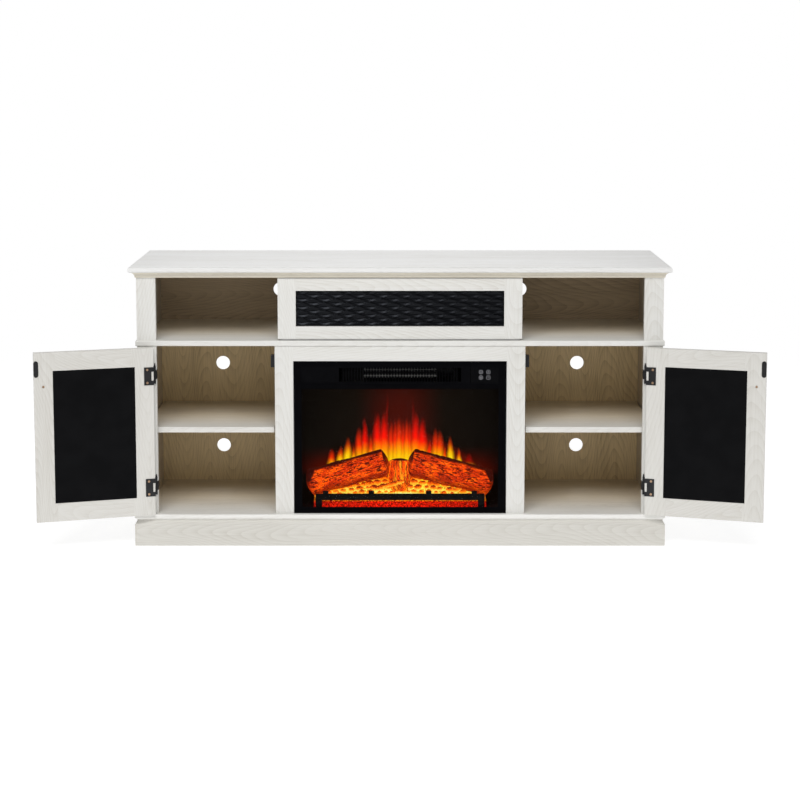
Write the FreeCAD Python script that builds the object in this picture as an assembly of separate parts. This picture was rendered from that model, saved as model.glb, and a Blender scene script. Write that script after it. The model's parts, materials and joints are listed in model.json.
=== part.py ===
import FreeCAD, Part
import math
import os
from FreeCAD import Vector

# A television stand in white-washed oak with an electric fire in its middle, two doors that
# stand open, two open bays and a drop-down flap. Lengths are in millimetres, +X is to the right,
# +Y to the back and +Z up. The origin is on the floor under the middle of the top.
# Pieces of the right half are drawn first, and the left half mirrors them.

# Cabinet
overall_width = 1473.0
overall_depth = 400.0
overall_height = 773.0
board = 15.0
back_sheet = 4.0
back_inset = 3.0
sheet_gap = 1.0
overrun = 2.0

# Top board, middle shelf and their mouldings
top_overhang = 20.0
top_upper_round = 7.0
top_lower_round = 5.0
cornice_height = 15.0
cornice_foot = 3.0
cornice_setback = 4.0
cove_share = 0.29
mid_overhang = 4.0
mid_round = 2.5

# Plinth with a groove under the bottom board
plinth_height = 73.0
plinth_overhang = 12.0
groove_depth = 6.0
groove_up = 5.5
groove_land = 3.5
groove_down = 13.5

# Front frame and uprights
bay_height = 188.0
side_stile = 52.0
fire_stile = 50.0
fire_rail = 42.0
fire_width = 583.5
divider_setback = 50.0
divider_inset = 6.0

# Cable holes
cable_radius = 20.0
cable_low_drop = 6.0
cable_upper_rise = 89.0
cable_upper_out = 9.5
notch_depth = 32.0
notch_margin = 6.0

# Adjustable shelves and their spoon pins
shelf_setback = 22.0
shelf_rise = 222.0
shelf_gap = 4.0
shelf_back_gap = 2.0
pin_radius = 2.5
pin_depth = 8.0
pin_play = 0.1
pin_inset = 45.0
spoon_reach = 11.0
spoon_width = 10.0
spoon_sheet = 2.0

# Doors and their frames
door_gap = 2.0
door_member_share = 0.182
rebate = 8.0
rebate_depth = 6.0
panel_play = 0.5
wave_height = 4.0
wave_floor = 1.0
wave_pitch = 10.8
wave_period = 62.0
wave_swing = 3.2
wave_steps = 6
open_angle = 165.0

# Wrap hinges of the doors
hinge_leaf = 1.2
hinge_height = 49.0
hinge_plate = 25.5
hinge_end = 77.0
hinge_window_height = 25.0
hinge_window_width = 5.6
leaf_depth = 13.0
barrel_radius = 2.75
barrel_gap = 0.25
barrel_over = 4.0
knuckle_play = 0.3
hinge_pin_radius = 1.4
hinge_pin_play = 0.05
finial_height = 7.0
finial_radius = 2.2
finial_tip_radius = 1.2

# Screws
screw_radius = 1.5
screw_play = 0.1
screw_length = 9.0
screw_head_radius = 3.2
screw_head_height = 1.2
flush_head_radius = 2.7
plate_screw_inset = 17.0
plate_screw_edge = 6.5
leaf_screw_depth = 8.0
leaf_screw_spread = 8.0

# Strike plates, catches and knobs
strike_width = 12.5
strike_height = 44.0
strike_drop = 44.0
strike_sheet = 1.2
catch_gap = 0.5
catch_width = 12.0
catch_depth = 22.0
catch_height = 32.0
catch_plate = 2.5
catch_plate_height = 48.0
catch_slot = 2.0
catch_slot_depth = 2.0
knob_drop = 92.0
knob_radius = 14.0
knob_length = 25.0
knob_stem_radius = 6.0
knob_neck_share = 0.35
knob_shoulder_share = 0.62
knob_rim_share = 0.8
knob_crown_share = 0.68
knob_screw_radius = 2.0
knob_screw_depth = 12.0

# Drop-down flap with a long hinge under it
flap_width = 665.0
flap_stile = 49.0
flap_rail = 34.0
flap_gap = 4.4
flap_top_gap = 2.5
flap_hinge_inset = 7.0
flap_hinge_leaf = 1.0
flap_hinge_depth = 12.0
flap_barrel_radius = 1.9
flap_pivot_back = 1.0
flap_pin_radius = 0.9
flap_knuckles = 13
flap_knuckle_play = 0.2
flap_notch_play = 0.3
flap_strike_width = 40.0
flap_strike_height = 14.0
flap_strike_drop = 3.0
flap_catch_at = 200.0
flap_catch_depth = 16.0

# Fire insert: bezel, casing and glass
insert_gap = 1.0
bezel_recess = 2.0
bezel_sheet = 2.0
bezel_depth = 15.0
bezel_side = 21.5
bezel_bottom = 17.0
bezel_middle = 16.0
bezel_top = 14.0
strip_height = 47.0
bezel_step = 1.0
bezel_rim = 9.0
casing_depth = 150.0
casing_sheet = 1.5
casing_play = 0.5
foot_width = 40.0
foot_depth = 12.0
glass_sheet = 4.0
glass_lap = 7.0
tray_rise = 1.0
slot_width = 46.0
slot_height = 5.0
slot_pitch = 10.0
slot_rows = 3
slot_at = 110.0
slot_drop = 21.0
gland_radius = 8.0
gland_bore = 4.0
gland_length = 14.0
gland_flange = 12.0
gland_flange_sheet = 3.0
gland_out = 60.0
gland_rise = 60.0

# Fire insert: heater, blower and controls
strip_lap = 4.0
grille_half = 167.0
grille_sheet = 2.0
fin_pitch = 8.0
fin_width = 2.0
fin_depth = 9.0
fin_frame = 4.0
control_width = 80.0
control_gap = 1.0
button_radius = 6.5
button_play = 0.2
button_flange = 7.3
button_flange_sheet = 1.2
button_proud = 1.0
button_pitch_x = 20.2
button_pitch_z = 15.5
button_travel = 1.0
switch_gap = 0.3
switch_size = 5.0
switch_height = 3.0
board_sheet = 1.6
board_margin = 6.0
board_post = 4.0
duct_half = 100.0
heater_row_height = 9.0
heater_row_gap = 8.0
heater_depth = 12.0
heater_core = 3.0
heater_fins = 25
heater_fin = 1.0
heater_behind = 16.0
duct_sheet = 1.5
duct_margin = 4.0
blower_radius = 20.0
blower_back = 72.0
blower_disc = 2.0
blower_shaft = 3.0
blower_blades = 16
blade_inner_share = 0.66
blade_mid_share = 0.85
blade_lean = 14.0
blade_bow = 5.0
blade_thick = 3.5
blower_end_play = 2.0
shaft_play = 0.08
motor_radius = 18.0
motor_length = 45.0

# Fire insert: flames, embers, logs and grate
screen_sheet = 3.0
screen_back = 96.0
screen_play = 0.4
rotor_radius = 15.0
rotor_shaft = 3.0
rotor_back = 30.0
rotor_rise = 60.0
rotor_flags = 16
flag_width = 20.0
flag_sheet = 0.8
flag_turn = 137.5
rotor_half = 215.0
rotor_motor_radius = 18.0
rotor_motor_length = 25.0
grate_half = 233.0
grate_bar = 7.0
grate_rise = 31.0
grate_height = 17.0
grate_gap = 2.0
grate_leg = 18.0
lug_width = 15.0
lug_height = 8.0
lug_at = (79.0, 205.0)
bed_half = 238.0
bed_gap = 2.0
bed_front_height = 36.0
bed_back_height = 82.0
bed_end_height = 30.0
bed_crown_height = 92.0
bed_brow_share = 0.72
light_half = 200.0
light_width = 14.0
light_sheet = 3.0
light_count = 12
light_size = 5.0
light_margin = 6.0
log_play = 0.3
log_radius = 33.0
log_end_radius = 29.0
stub_radius = 29.0
stub_foot_radius = 24.0
log_ring_shares = (1.0, 0.93, 1.0, 0.9, 0.97, 1.0, 0.91, 0.98, 0.94, 1.0, 0.9, 0.96)
log_twist = 9.0
left_log_x_shares = (-0.895, -0.53, -0.175)
right_log_x_shares = (0.90, 0.52, 0.13)
log_y_shares = (0.5, 0.5, 0.5)
log_z_shares = (0.165, 0.265, 0.335)
stub_x_shares = (0.0, -0.015, -0.022)
stub_y_shares = (0.18, 0.42, 0.66)
stub_z_shares = (0.175, 0.255, 0.325)

# Levels and planes that the pieces share
half_width = overall_width / 2
top_front = -overall_depth / 2
back_plane = overall_depth / 2
carcass_back = back_plane - back_sheet
face = top_front + top_overhang
behind_face = face + board
carcass_half = half_width - top_overhang
side_inner = carcass_half - board
bottom_top = plinth_height + board
top_under = overall_height - board
mid_top = top_under - bay_height
mid_bottom = mid_top - board
cornice_under = top_under - cornice_height
stile_edge = carcass_half - side_stile
fire_half = fire_width / 2
divider_face = fire_half + fire_stile
divider_inner = divider_face - board
fire_top = mid_bottom - fire_rail
shelf_bottom = bottom_top + shelf_rise
shelf_top = shelf_bottom + board
half_turn_share = 1 - math.cos(math.radians(45))

x_axis = Vector(1, 0, 0)
y_axis = Vector(0, 1, 0)
z_axis = Vector(0, 0, 1)
centre = Vector(0, 0, 0)


def block(x, y, z):
    size = Vector(x[1] - x[0], y[1] - y[0], z[1] - z[0])
    return Part.makeBox(size.x, size.y, size.z, Vector(x[0], y[0], z[0]))


def prism(outline, z):
    corners = [Vector(x, y, z[0]) for x, y in outline]
    wire = Part.makePolygon(corners + corners[:1])
    return Part.Face(wire).extrude(z_axis * (z[1] - z[0]))


def rod(start, direction, length, radius):
    return Part.makeCylinder(radius, length, start, direction)


def union(shapes):
    return shapes[0].multiFuse(shapes[1:]).removeSplitter()


def mirrored(shape):
    return shape.mirror(centre, x_axis)


def both(shape):
    return [shape, mirrored(shape)]


def save(node, *solids):
    Part.makeCompound(list(solids)).exportStep("parts/" + node + ".step")


def edge_curves(steps, place):
    # a step is the next point of a straight stretch, or an arc's middle and end
    curves = []
    start = place(*steps[0])
    for step in steps[1:]:
        end = place(*step[-2:])
        if len(step) == 4:
            curves.append(Part.Arc(start, place(*step[:2]), end).toShape())
        else:
            curves.append(Part.LineSegment(start, end).toShape())
        start = end
    return curves, start


def closed_face(curves):
    return Part.Face(Part.Wire(Part.__sortEdges__(curves)))


def moulded_slab(half, front, back, steps):
    # steps run up the edge as (distance in from the outermost line, height)
    depth = back - front
    nose, upper = edge_curves(steps, lambda u, z: Vector(-half, front + u, z))
    lower = Vector(-half, front + steps[0][0], steps[0][1])
    behind = [Vector(-half, back, upper.z), Vector(-half, back, lower.z)]
    nose += Part.makePolygon([upper, *behind, lower]).Edges
    left, left_top = edge_curves(steps, lambda u, z: Vector(u - half, front, z))
    right, right_top = edge_curves(steps, lambda u, z: Vector(half - u, front, z))
    left_foot = Vector(steps[0][0] - half, front, steps[0][1])
    right_foot = Vector(half - steps[0][0], front, steps[0][1])
    caps = [Part.LineSegment(left_top, right_top).toShape()]
    caps += [Part.LineSegment(left_foot, right_foot).toShape()]
    along_x = closed_face(nose).extrude(x_axis * (2 * half))
    along_y = closed_face(left + right + caps).extrude(y_axis * depth)
    return along_x.common(along_y)


def rounded_edge(z, lower, upper):
    low = lower * half_turn_share
    high = upper * half_turn_share
    start = (lower, z[0])
    lower_arc = (low, z[0] + low, 0, z[0] + lower)
    upper_arc = (high, z[1] - high, upper, z[1])
    return [start, lower_arc, (0, z[1] - upper), upper_arc]


def mitred_strips(half, front, strip, steps):
    # the front strip and the right-hand strip, which meet at 45 degrees
    slab = moulded_slab(half, front, carcass_back, steps)
    z = (steps[0][1], steps[-1][-1])
    inner = half - strip
    behind = front + strip
    front_plan = [(-half, front), (half, front), (inner, behind), (-inner, behind)]
    side_plan = [(half, front), (half, carcass_back), (inner, carcass_back), (inner, behind)]
    return slab.common(prism(front_plan, z)), slab.common(prism(side_plan, z))


def screw(point, direction, head_radius, head_height, length):
    # the head stands out against the direction in which the screw goes in
    shank = rod(point, direction, length, screw_radius)
    head = rod(point - direction * head_height, direction, head_height, head_radius)
    return union([shank, head])


def pilot(point, direction, length):
    start = point - direction * overrun
    return rod(start, direction, length + overrun + screw_play, screw_radius + screw_play)


# Top, shelves across the whole width, and plinth
def make_slabs():
    nose = rounded_edge((top_under, overall_height), top_lower_round, top_upper_round)
    save("top_board", moulded_slab(half_width, top_front, back_plane, nose))
    reach = top_overhang - cornice_setback - cornice_foot
    hollow = 1 - cove_share
    cove = (reach * hollow, cornice_under + cornice_height * hollow, 0, top_under)
    strip = top_overhang - cornice_setback
    cornice = [(reach, cornice_under), cove]
    front, side = mitred_strips(half_width - cornice_setback, top_front + cornice_setback, strip, cornice)
    save("cornice_moulding", front, *both(side))
    edge = rounded_edge((mid_bottom, mid_top), mid_round, mid_round)
    save("mid_shelf", moulded_slab(carcass_half + mid_overhang, face - mid_overhang, carcass_back, edge))
    half = carcass_half + plinth_overhang
    plinth_front = face - plinth_overhang
    lip = [(groove_depth, plinth_height), (0, plinth_height + groove_up), (0, bottom_top)]
    save("bottom_board", moulded_slab(half, plinth_front, carcass_back, lip))
    lip = [(0, 0), (0, plinth_height - groove_down), (groove_depth, plinth_height - groove_land)]
    lip.append((groove_depth, plinth_height))
    front, side = mitred_strips(half, plinth_front, board, lip)
    save("plinth_front", front)
    save("plinth_sides", *both(side))
    rail_front = carcass_back - board
    back_rail = block((board - half, half - board), (rail_front, carcass_back), (0, plinth_height))
    brace = block((-board / 2, board / 2), (plinth_front + board, rail_front), (0, plinth_height))
    save("base_rails", back_rail, brace)


hinge_centres = (bottom_top + door_gap + hinge_end, mid_bottom - door_gap - hinge_end)
upper_hole = Vector(divider_face + cable_upper_out, carcass_back, mid_top + cable_upper_rise)
bay_middle = (side_inner + divider_face) / 2
low_hole_z = (bottom_top + shelf_bottom) / 2 - cable_low_drop
high_hole_z = (shelf_top + mid_bottom) / 2
lower_holes = [Vector(bay_middle, carcass_back, z) for z in (low_hole_z, high_hole_z)]
pin_rows = (face + shelf_setback + pin_inset, carcass_back - shelf_back_gap - pin_inset)


def drilled(shape, holes):
    for hole in holes:
        start = hole - y_axis * overrun
        shape = shape.cut(rod(start, y_axis, back_sheet + 2 * overrun, cable_radius))
    return shape


def pin_holes(panel_face, direction):
    # the holes go into a panel along the direction, from its face
    holes = []
    for y in pin_rows:
        start = Vector(panel_face, y, shelf_bottom - pin_radius)
        holes.append(rod(start, direction, pin_depth + pin_play, pin_radius + pin_play))
    return holes


def cut_all(shape, tools):
    for tool in tools:
        shape = shape.cut(tool)
    return shape


# Upright panels and the front frame
def make_uprights():
    upper = (mid_top, top_under)
    lower = (bottom_top, mid_bottom)
    side = (side_inner, carcass_half)
    save("upper_sides", *both(block(side, (behind_face, carcass_back), upper)))
    lower_side = block(side, (behind_face, carcass_back), lower)
    save("lower_sides", *both(cut_all(lower_side, pin_holes(side_inner, x_axis))))
    stile = (stile_edge, carcass_half)
    lower_stile = block(stile, (face, behind_face), lower)
    holes = [pilot(point, x_axis, screw_length) for point in leaf_screw_points()]
    lower_stile = cut_all(lower_stile, holes)
    upper_stile = block(stile, (face, behind_face), upper)
    save("front_stiles", *both(upper_stile), *both(lower_stile))
    divider = (divider_inner - divider_inset, divider_face - divider_inset)
    tall = cable_radius + notch_margin
    notch_z = (upper_hole.z - tall, upper_hole.z + tall)
    notch_y = (carcass_back - notch_depth, carcass_back + overrun)
    notch = block((divider[0] - overrun, divider[1] + overrun), notch_y, notch_z)
    upper_divider = block(divider, (face + divider_setback, carcass_back), upper).cut(notch)
    save("upper_dividers", *both(upper_divider))
    lower_divider = block((divider_inner, divider_face), (behind_face, carcass_back), lower)
    save("lower_dividers", *both(cut_all(lower_divider, pin_holes(divider_face, -x_axis))))
    save("fireplace_stiles", *both(block((fire_half, divider_face), (face, behind_face), lower)))
    save("fireplace_top_rail", block((-fire_half, fire_half), (face, behind_face), (fire_top, mid_bottom)))


# Back panels with cable holes
def make_backs():
    seam = mid_top - board / 2
    sheet = (carcass_back, back_plane)
    outer = carcass_half - back_inset
    upper = block((-outer, outer), sheet, (seam + sheet_gap / 2, top_under))
    left_hole = Vector(-upper_hole.x, upper_hole.y, upper_hole.z)
    save("upper_back_panel", drilled(upper, [upper_hole, left_hole]))
    lower = block((divider_inner, outer), sheet, (plinth_height + back_inset, seam - sheet_gap / 2))
    save("lower_back_panels", *both(drilled(lower, lower_holes)))


def spoon_pin(panel_face, y, side):
    # side is 1 where the pin stands out towards +X
    out = x_axis * side
    mouth = Vector(panel_face, y, shelf_bottom - pin_radius)
    peg = rod(mouth - out * pin_depth, out, pin_depth, pin_radius)
    reach = sorted((panel_face, panel_face + side * spoon_reach))
    width = (y - spoon_width / 2, y + spoon_width / 2)
    spoon = block(reach, width, (shelf_bottom - spoon_sheet, shelf_bottom))
    stop = sorted((panel_face, panel_face + side * spoon_sheet))
    collar = block(stop, width, (shelf_bottom - 2 * pin_radius, shelf_bottom))
    return union([peg, spoon, collar])


# Adjustable shelves
def make_shelves():
    span = (divider_face + shelf_gap, side_inner - shelf_gap)
    depth = (face + shelf_setback, carcass_back - shelf_back_gap)
    save("adjustable_shelves", *both(block(span, depth, (shelf_bottom, shelf_top))))
    pins = []
    for y in pin_rows:
        pins += both(spoon_pin(divider_face, y, 1))
        pins += both(spoon_pin(side_inner, y, -1))
    save("shelf_pins", *pins)


def framed(x, z, stile, rail):
    # two stiles and two rails with a rebate at the back for a panel
    front = (face, behind_face - rebate_depth)
    back = (behind_face - rebate_depth, behind_face)
    members = []
    for edge, sign in ((x[0], 1), (x[1], -1)):
        wide = sorted((edge, edge + sign * stile))
        narrow = sorted((edge, edge + sign * (stile - rebate)))
        members.append(union([block(wide, front, z), block(narrow, back, z)]))
    long_span = (x[0] + stile - rebate, x[1] - stile + rebate)
    short_span = (x[0] + stile, x[1] - stile)
    for level, sign in ((z[0], 1), (z[1], -1)):
        tall = sorted((level, level + sign * rail))
        low = sorted((level, level + sign * (rail - rebate)))
        members.append(union([block(short_span, front, tall), block(long_span, back, low)]))
    return members


def flat(corners):
    return Part.Face(Part.makePolygon(corners + corners[:1]))


def wave_field(x, back, z):
    # ridges whose crests swing up and down along X, each row against the next, over straight valleys
    rows = max(round((z[1] - z[0]) / wave_pitch), 1)
    pitch = (z[1] - z[0]) / rows
    stations = max(round((x[1] - x[0]) * wave_steps / wave_period), 1)
    root = (back[0] + back[1]) / 2
    valley = back[0] - wave_floor
    crest = back[0] - wave_height
    sections = []
    for station in range(stations + 1):
        across = x[0] + (x[1] - x[0]) * station / stations
        swing = wave_swing * math.sin(math.radians(360 * station / wave_steps))
        outline = [Vector(across, root, z[1]), Vector(across, root, z[0]), Vector(across, valley, z[0])]
        for row in range(rows):
            side = swing if row % 2 else -swing
            outline.append(Vector(across, crest, z[0] + pitch * (row + 1 / 2) + side))
            outline.append(Vector(across, valley, z[0] + pitch * (row + 1)))
        sections.append(outline)
    facets = [flat(sections[0]), flat(sections[-1])]
    for near, far in zip(sections, sections[1:]):
        for corner in range(len(near)):
            after = (corner + 1) % len(near)
            facets.append(flat([near[corner], near[after], far[corner]]))
            facets.append(flat([near[after], far[after], far[corner]]))
    return Part.makeSolid(Part.makeShell(facets))


def panel(x, z, stile, rail):
    # the sheet lies in the rebate, and its field stands forward inside the frame
    inset_x = stile - rebate + panel_play
    inset_z = rail - rebate + panel_play
    back = (behind_face - rebate_depth, behind_face)
    sheet = block((x[0] + inset_x, x[1] - inset_x), back, (z[0] + inset_z, z[1] - inset_z))
    field_x = (x[0] + stile + panel_play, x[1] - stile - panel_play)
    field_z = (z[0] + rail + panel_play, z[1] - rail - panel_play)
    return union([sheet, wave_field(field_x, back, field_z)])


door_hinge_edge = stile_edge - door_gap
door_free_edge = divider_face + door_gap
door_z = (bottom_top + door_gap, mid_bottom - door_gap)
door_x = (door_free_edge, door_hinge_edge)
door_member = door_member_share * (door_hinge_edge - door_free_edge)
pivot = Vector(stile_edge + barrel_over, face - barrel_radius - barrel_gap, 0)
barrel_bore = hinge_pin_radius + hinge_pin_play


def opened(shape):
    return shape.rotated(pivot, z_axis, open_angle)


def leaf_screw_points():
    points = []
    for z in hinge_centres:
        for side in (-1, 1):
            height = z + side * leaf_screw_spread
            points.append(Vector(stile_edge, face + leaf_screw_depth, height))
    return points


def plate_screw_points():
    points = []
    x = door_hinge_edge - plate_screw_inset
    for z in hinge_centres:
        for side in (-1, 1):
            height = z + side * (hinge_height / 2 - plate_screw_edge)
            points.append(Vector(x, behind_face, height))
    return points


def door_leaf(z):
    # a strip from the barrel wraps the door's edge and ends in a plate on its inner face
    half = hinge_height / 2
    tall = (z - half, z + half)
    wrap = (door_hinge_edge, door_hinge_edge + hinge_leaf)
    front = (face - barrel_gap - hinge_leaf, face - barrel_gap)
    behind = (behind_face, behind_face + hinge_leaf)
    strip = block((wrap[0], pivot.x), front, tall)
    edge = block(wrap, (front[0], behind[1]), tall)
    plate = block((door_hinge_edge - hinge_plate, wrap[1]), behind, tall)
    barrel = rod(Vector(pivot.x, pivot.y, tall[0]), z_axis, hinge_height, barrel_radius)
    leaf = union([strip, edge, plate, barrel])
    inner = hinge_window_height / 2
    window_x = (door_hinge_edge - hinge_window_width, pivot.x + barrel_radius + overrun)
    window_y = (pivot.y - barrel_radius - overrun, behind[1] + overrun)
    leaf = leaf.cut(block(window_x, window_y, (z - inner, z + inner)))
    foot = Vector(pivot.x, pivot.y, tall[0] - overrun)
    return leaf.cut(rod(foot, z_axis, hinge_height + 2 * overrun, barrel_bore))


def stile_leaf(z):
    # the leaf on the stile's edge has the middle knuckle, in the other leaf's window
    half = hinge_window_height / 2 - knuckle_play
    tall = (z - half, z + half)
    front = (face - barrel_gap - hinge_leaf, face - barrel_gap)
    flat = (stile_edge - hinge_leaf, stile_edge)
    strip = block((flat[0], pivot.x), front, tall)
    plate = block(flat, (front[0], face + leaf_depth), tall)
    barrel = rod(Vector(pivot.x, pivot.y, tall[0]), z_axis, 2 * half, barrel_radius)
    leaf = union([strip, plate, barrel])
    foot = Vector(pivot.x, pivot.y, tall[0] - overrun)
    leaf = leaf.cut(rod(foot, z_axis, 2 * (half + overrun), barrel_bore))
    for point in leaf_screw_points():
        start = point - x_axis * (hinge_leaf + overrun)
        leaf = leaf.cut(rod(start, x_axis, hinge_leaf + 2 * overrun, flush_head_radius + screw_play))
    return leaf


def hinge_pin(z):
    half = hinge_height / 2
    shaft = rod(Vector(pivot.x, pivot.y, z - half), z_axis, hinge_height, hinge_pin_radius)
    top = Vector(pivot.x, pivot.y, z + half + knuckle_play)
    neck = rod(top - z_axis * knuckle_play, z_axis, knuckle_play, hinge_pin_radius)
    finial = Part.makeCone(finial_radius, finial_tip_radius, finial_height, top, z_axis)
    return union([shaft, neck, finial])


def stadium(x, z, y, thickness):
    # a plate with rounded ends, standing up, as wide as its ends are round
    radius = (x[1] - x[0]) / 2
    middle = (x[0] + x[1]) / 2
    ends = (z[0] + radius, z[1] - radius)
    plates = [block(x, (y, y + thickness), ends)]
    for height in ends:
        plates.append(rod(Vector(middle, y, height), y_axis, thickness, radius))
    return union(plates)


strike_z = (door_z[1] - strike_drop - strike_height / 2, door_z[1] - strike_drop + strike_height / 2)
knob_point = Vector(door_free_edge + (door_member - rebate) / 2, face, door_z[1] - knob_drop)


def knob():
    # a turned knob: stem, cone, rim and chamfered crown, drawn along -Y from the door's face
    steps = [(0, 0), (knob_stem_radius, 0), (knob_stem_radius, knob_length * knob_neck_share)]
    steps.append((knob_radius, knob_length * knob_shoulder_share))
    steps.append((knob_radius, knob_length * knob_rim_share))
    steps += [(knob_radius * knob_crown_share, knob_length), (0, knob_length), (0, 0)]
    outline, _ = edge_curves(steps, lambda r, h: knob_point + x_axis * r - y_axis * h)
    body = closed_face(outline).revolve(knob_point, y_axis, 360)
    bore = rod(knob_point + y_axis * overrun, -y_axis, knob_screw_depth + overrun + screw_play,
               knob_screw_radius + screw_play)
    return body.cut(bore)


def knob_screw():
    start = knob_point + y_axis * board
    shank = rod(start, -y_axis, board + knob_screw_depth, knob_screw_radius)
    head = rod(start, y_axis, screw_head_height, screw_head_radius)
    return union([shank, head])


# Doors with their hinges, drawn shut and then swung open
def make_doors():
    members = framed(door_x, door_z, door_member, door_member)
    holes = [pilot(point, -y_axis, screw_length) for point in plate_screw_points()]
    reach = board + 2 * overrun
    holes.append(rod(knob_point - y_axis * overrun, y_axis, reach, knob_screw_radius + screw_play))
    members = [cut_all(member, holes) for member in members]
    leaves = [cut_all(door_leaf(z), holes) for z in hinge_centres]
    screws = []
    for point in plate_screw_points():
        seat = point + y_axis * hinge_leaf
        screws.append(screw(seat, -y_axis, screw_head_radius, screw_head_height, screw_length))
    strike = stadium((door_free_edge, door_free_edge + strike_width), strike_z, behind_face, strike_sheet)
    pieces = {
        "frame": members,
        "panel": [panel(door_x, door_z, door_member, door_member)],
        "hinge_leaves": leaves,
        "screws": screws + [knob_screw()],
        "strike": [strike],
        "knob": [knob()],
    }
    for name, solids in pieces.items():
        solids = [opened(solid) for solid in solids]
        save("right_door_" + name, *solids)
        save("left_door_" + name, *[mirrored(solid) for solid in solids])


flap_half = flap_width / 2
flap_x = (-flap_half, flap_half)
flap_z = (mid_top + flap_gap, cornice_under - flap_top_gap)
flap_pivot = Vector(0, face + flap_pivot_back, mid_top + flap_gap / 2)
flap_hinge_half = flap_half - flap_hinge_inset


def flap_leaf(z, first):
    # a long leaf with every other knuckle, from the first one on
    pitch = 2 * flap_hinge_half / flap_knuckles
    near = flap_pivot.y + flap_barrel_radius + flap_notch_play
    far = flap_pivot.y + flap_hinge_depth
    pieces = [block((-flap_hinge_half, flap_hinge_half), (near, far), z)]
    for place in range(first, flap_knuckles, 2):
        low = pitch * place - flap_hinge_half + flap_knuckle_play / 2
        long = pitch - flap_knuckle_play
        start = Vector(low, flap_pivot.y, flap_pivot.z)
        pieces.append(rod(start, x_axis, long, flap_barrel_radius))
        pieces.append(block((low, low + long), (flap_pivot.y, near), z))
    leaf = union(pieces)
    bore = flap_pin_radius + hinge_pin_play
    start = Vector(-flap_half, flap_pivot.y, flap_pivot.z)
    return leaf.cut(rod(start, x_axis, flap_width, bore))


# Drop-down flap
def make_flap():
    save("flap_frame", *framed(flap_x, flap_z, flap_stile, flap_rail))
    save("flap_panel", panel(flap_x, flap_z, flap_stile, flap_rail))
    save("flap_hinge_leaf", flap_leaf((flap_z[0] - flap_hinge_leaf, flap_z[0]), 0))
    middle = flap_catch_at
    x = (middle - flap_strike_width / 2, middle + flap_strike_width / 2)
    z = (flap_z[1] - flap_strike_drop - flap_strike_height, flap_z[1] - flap_strike_drop)
    strike = block(x, (behind_face, behind_face + strike_sheet), z)
    save("flap_strikes", *both(strike))


# Hinge parts and catches that stay on the cabinet
def make_hardware():
    leaves = []
    pins = []
    for z in hinge_centres:
        leaves += both(stile_leaf(z))
        pins += both(hinge_pin(z))
    leaves.append(flap_leaf((mid_top, mid_top + flap_hinge_leaf), 1))
    start = Vector(-flap_hinge_half, flap_pivot.y, flap_pivot.z)
    pins.append(rod(start, x_axis, 2 * flap_hinge_half, flap_pin_radius))
    save("hinge_frame_leaves", *leaves)
    save("hinge_pins", *pins)
    screws = []
    for point in leaf_screw_points():
        screws += both(screw(point, x_axis, flush_head_radius, hinge_leaf, screw_length))
    save("hinge_frame_screws", *screws)
    front = behind_face + strike_sheet + catch_gap
    level = (strike_z[0] + strike_z[1]) / 2
    depth = (front, front + catch_depth)
    body_z = (level - catch_height / 2, level + catch_height / 2)
    plate_z = (level - catch_plate_height / 2, level + catch_plate_height / 2)
    body = block((divider_face, divider_face + catch_width), depth, body_z)
    slot_x = (divider_face + catch_width / 2, divider_face + catch_width / 2 + catch_slot)
    slot_z = (body_z[0] - overrun, body_z[1] + overrun)
    slot = block(slot_x, (front - overrun, front + catch_slot_depth), slot_z)
    plate = block((divider_face, divider_face + catch_plate), depth, plate_z)
    door_catch = union([body.cut(slot), plate])
    x = (flap_catch_at - flap_strike_width / 2, flap_catch_at + flap_strike_width / 2)
    low = flap_z[1] - flap_strike_drop - flap_strike_height
    flap_catch = block(x, (front, front + flap_catch_depth), (low, top_under))
    save("magnetic_catches", *both(door_catch), *both(flap_catch))


# Planes and levels of the fire insert
bezel_half = fire_half - insert_gap
bezel_z = (bottom_top, fire_top - insert_gap)
bezel_front = face + bezel_recess
bezel_back = bezel_front + bezel_sheet
window_half = bezel_half - bezel_side
strip_z = (bezel_z[1] - bezel_top - strip_height, bezel_z[1] - bezel_top)
window_z = (bezel_z[0] + bezel_bottom, strip_z[0] - bezel_middle)
casing_half = bezel_half - bezel_sheet - casing_play
casing_z = (bezel_z[0] + bezel_sheet, bezel_z[1] - bezel_sheet - casing_play)
casing_rear = bezel_back + casing_depth
chamber_half = casing_half - casing_sheet
chamber_floor = casing_z[0] + casing_sheet
chamber_rear = casing_rear - casing_sheet
deck_under = window_z[1] + glass_lap + tray_rise
deck_top = deck_under + casing_sheet
glass_rear = bezel_back + glass_sheet
grille_rear = bezel_back + grille_sheet
blower_axis = Vector(0, bezel_back + blower_back, (deck_top + casing_z[1] - casing_sheet) / 2)
rotor_axis = Vector(0, chamber_rear - rotor_back, chamber_floor + rotor_rise)
gland_point = Vector(casing_half - gland_out, casing_rear, casing_z[0] + gland_rise)


def bezel():
    outer = block((-bezel_half, bezel_half), (bezel_front, bezel_front + bezel_depth), bezel_z)
    inner_half = bezel_half - bezel_sheet
    inner_z = (bezel_z[0] + bezel_sheet, bezel_z[1] - bezel_sheet)
    hollow = block((-inner_half, inner_half), (bezel_back, bezel_front + bezel_depth + overrun), inner_z)
    through = (bezel_front - overrun, bezel_back + overrun)
    window = block((-window_half, window_half), through, window_z)
    strip = block((-window_half, window_half), through, strip_z)
    step_half = bezel_half - bezel_rim
    step_z = (bezel_z[0] + bezel_rim, bezel_z[1] - bezel_rim)
    step = block((-step_half, step_half), (bezel_front - overrun, bezel_front + bezel_step), step_z)
    return cut_all(outer, [hollow, window, strip, step])


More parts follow.
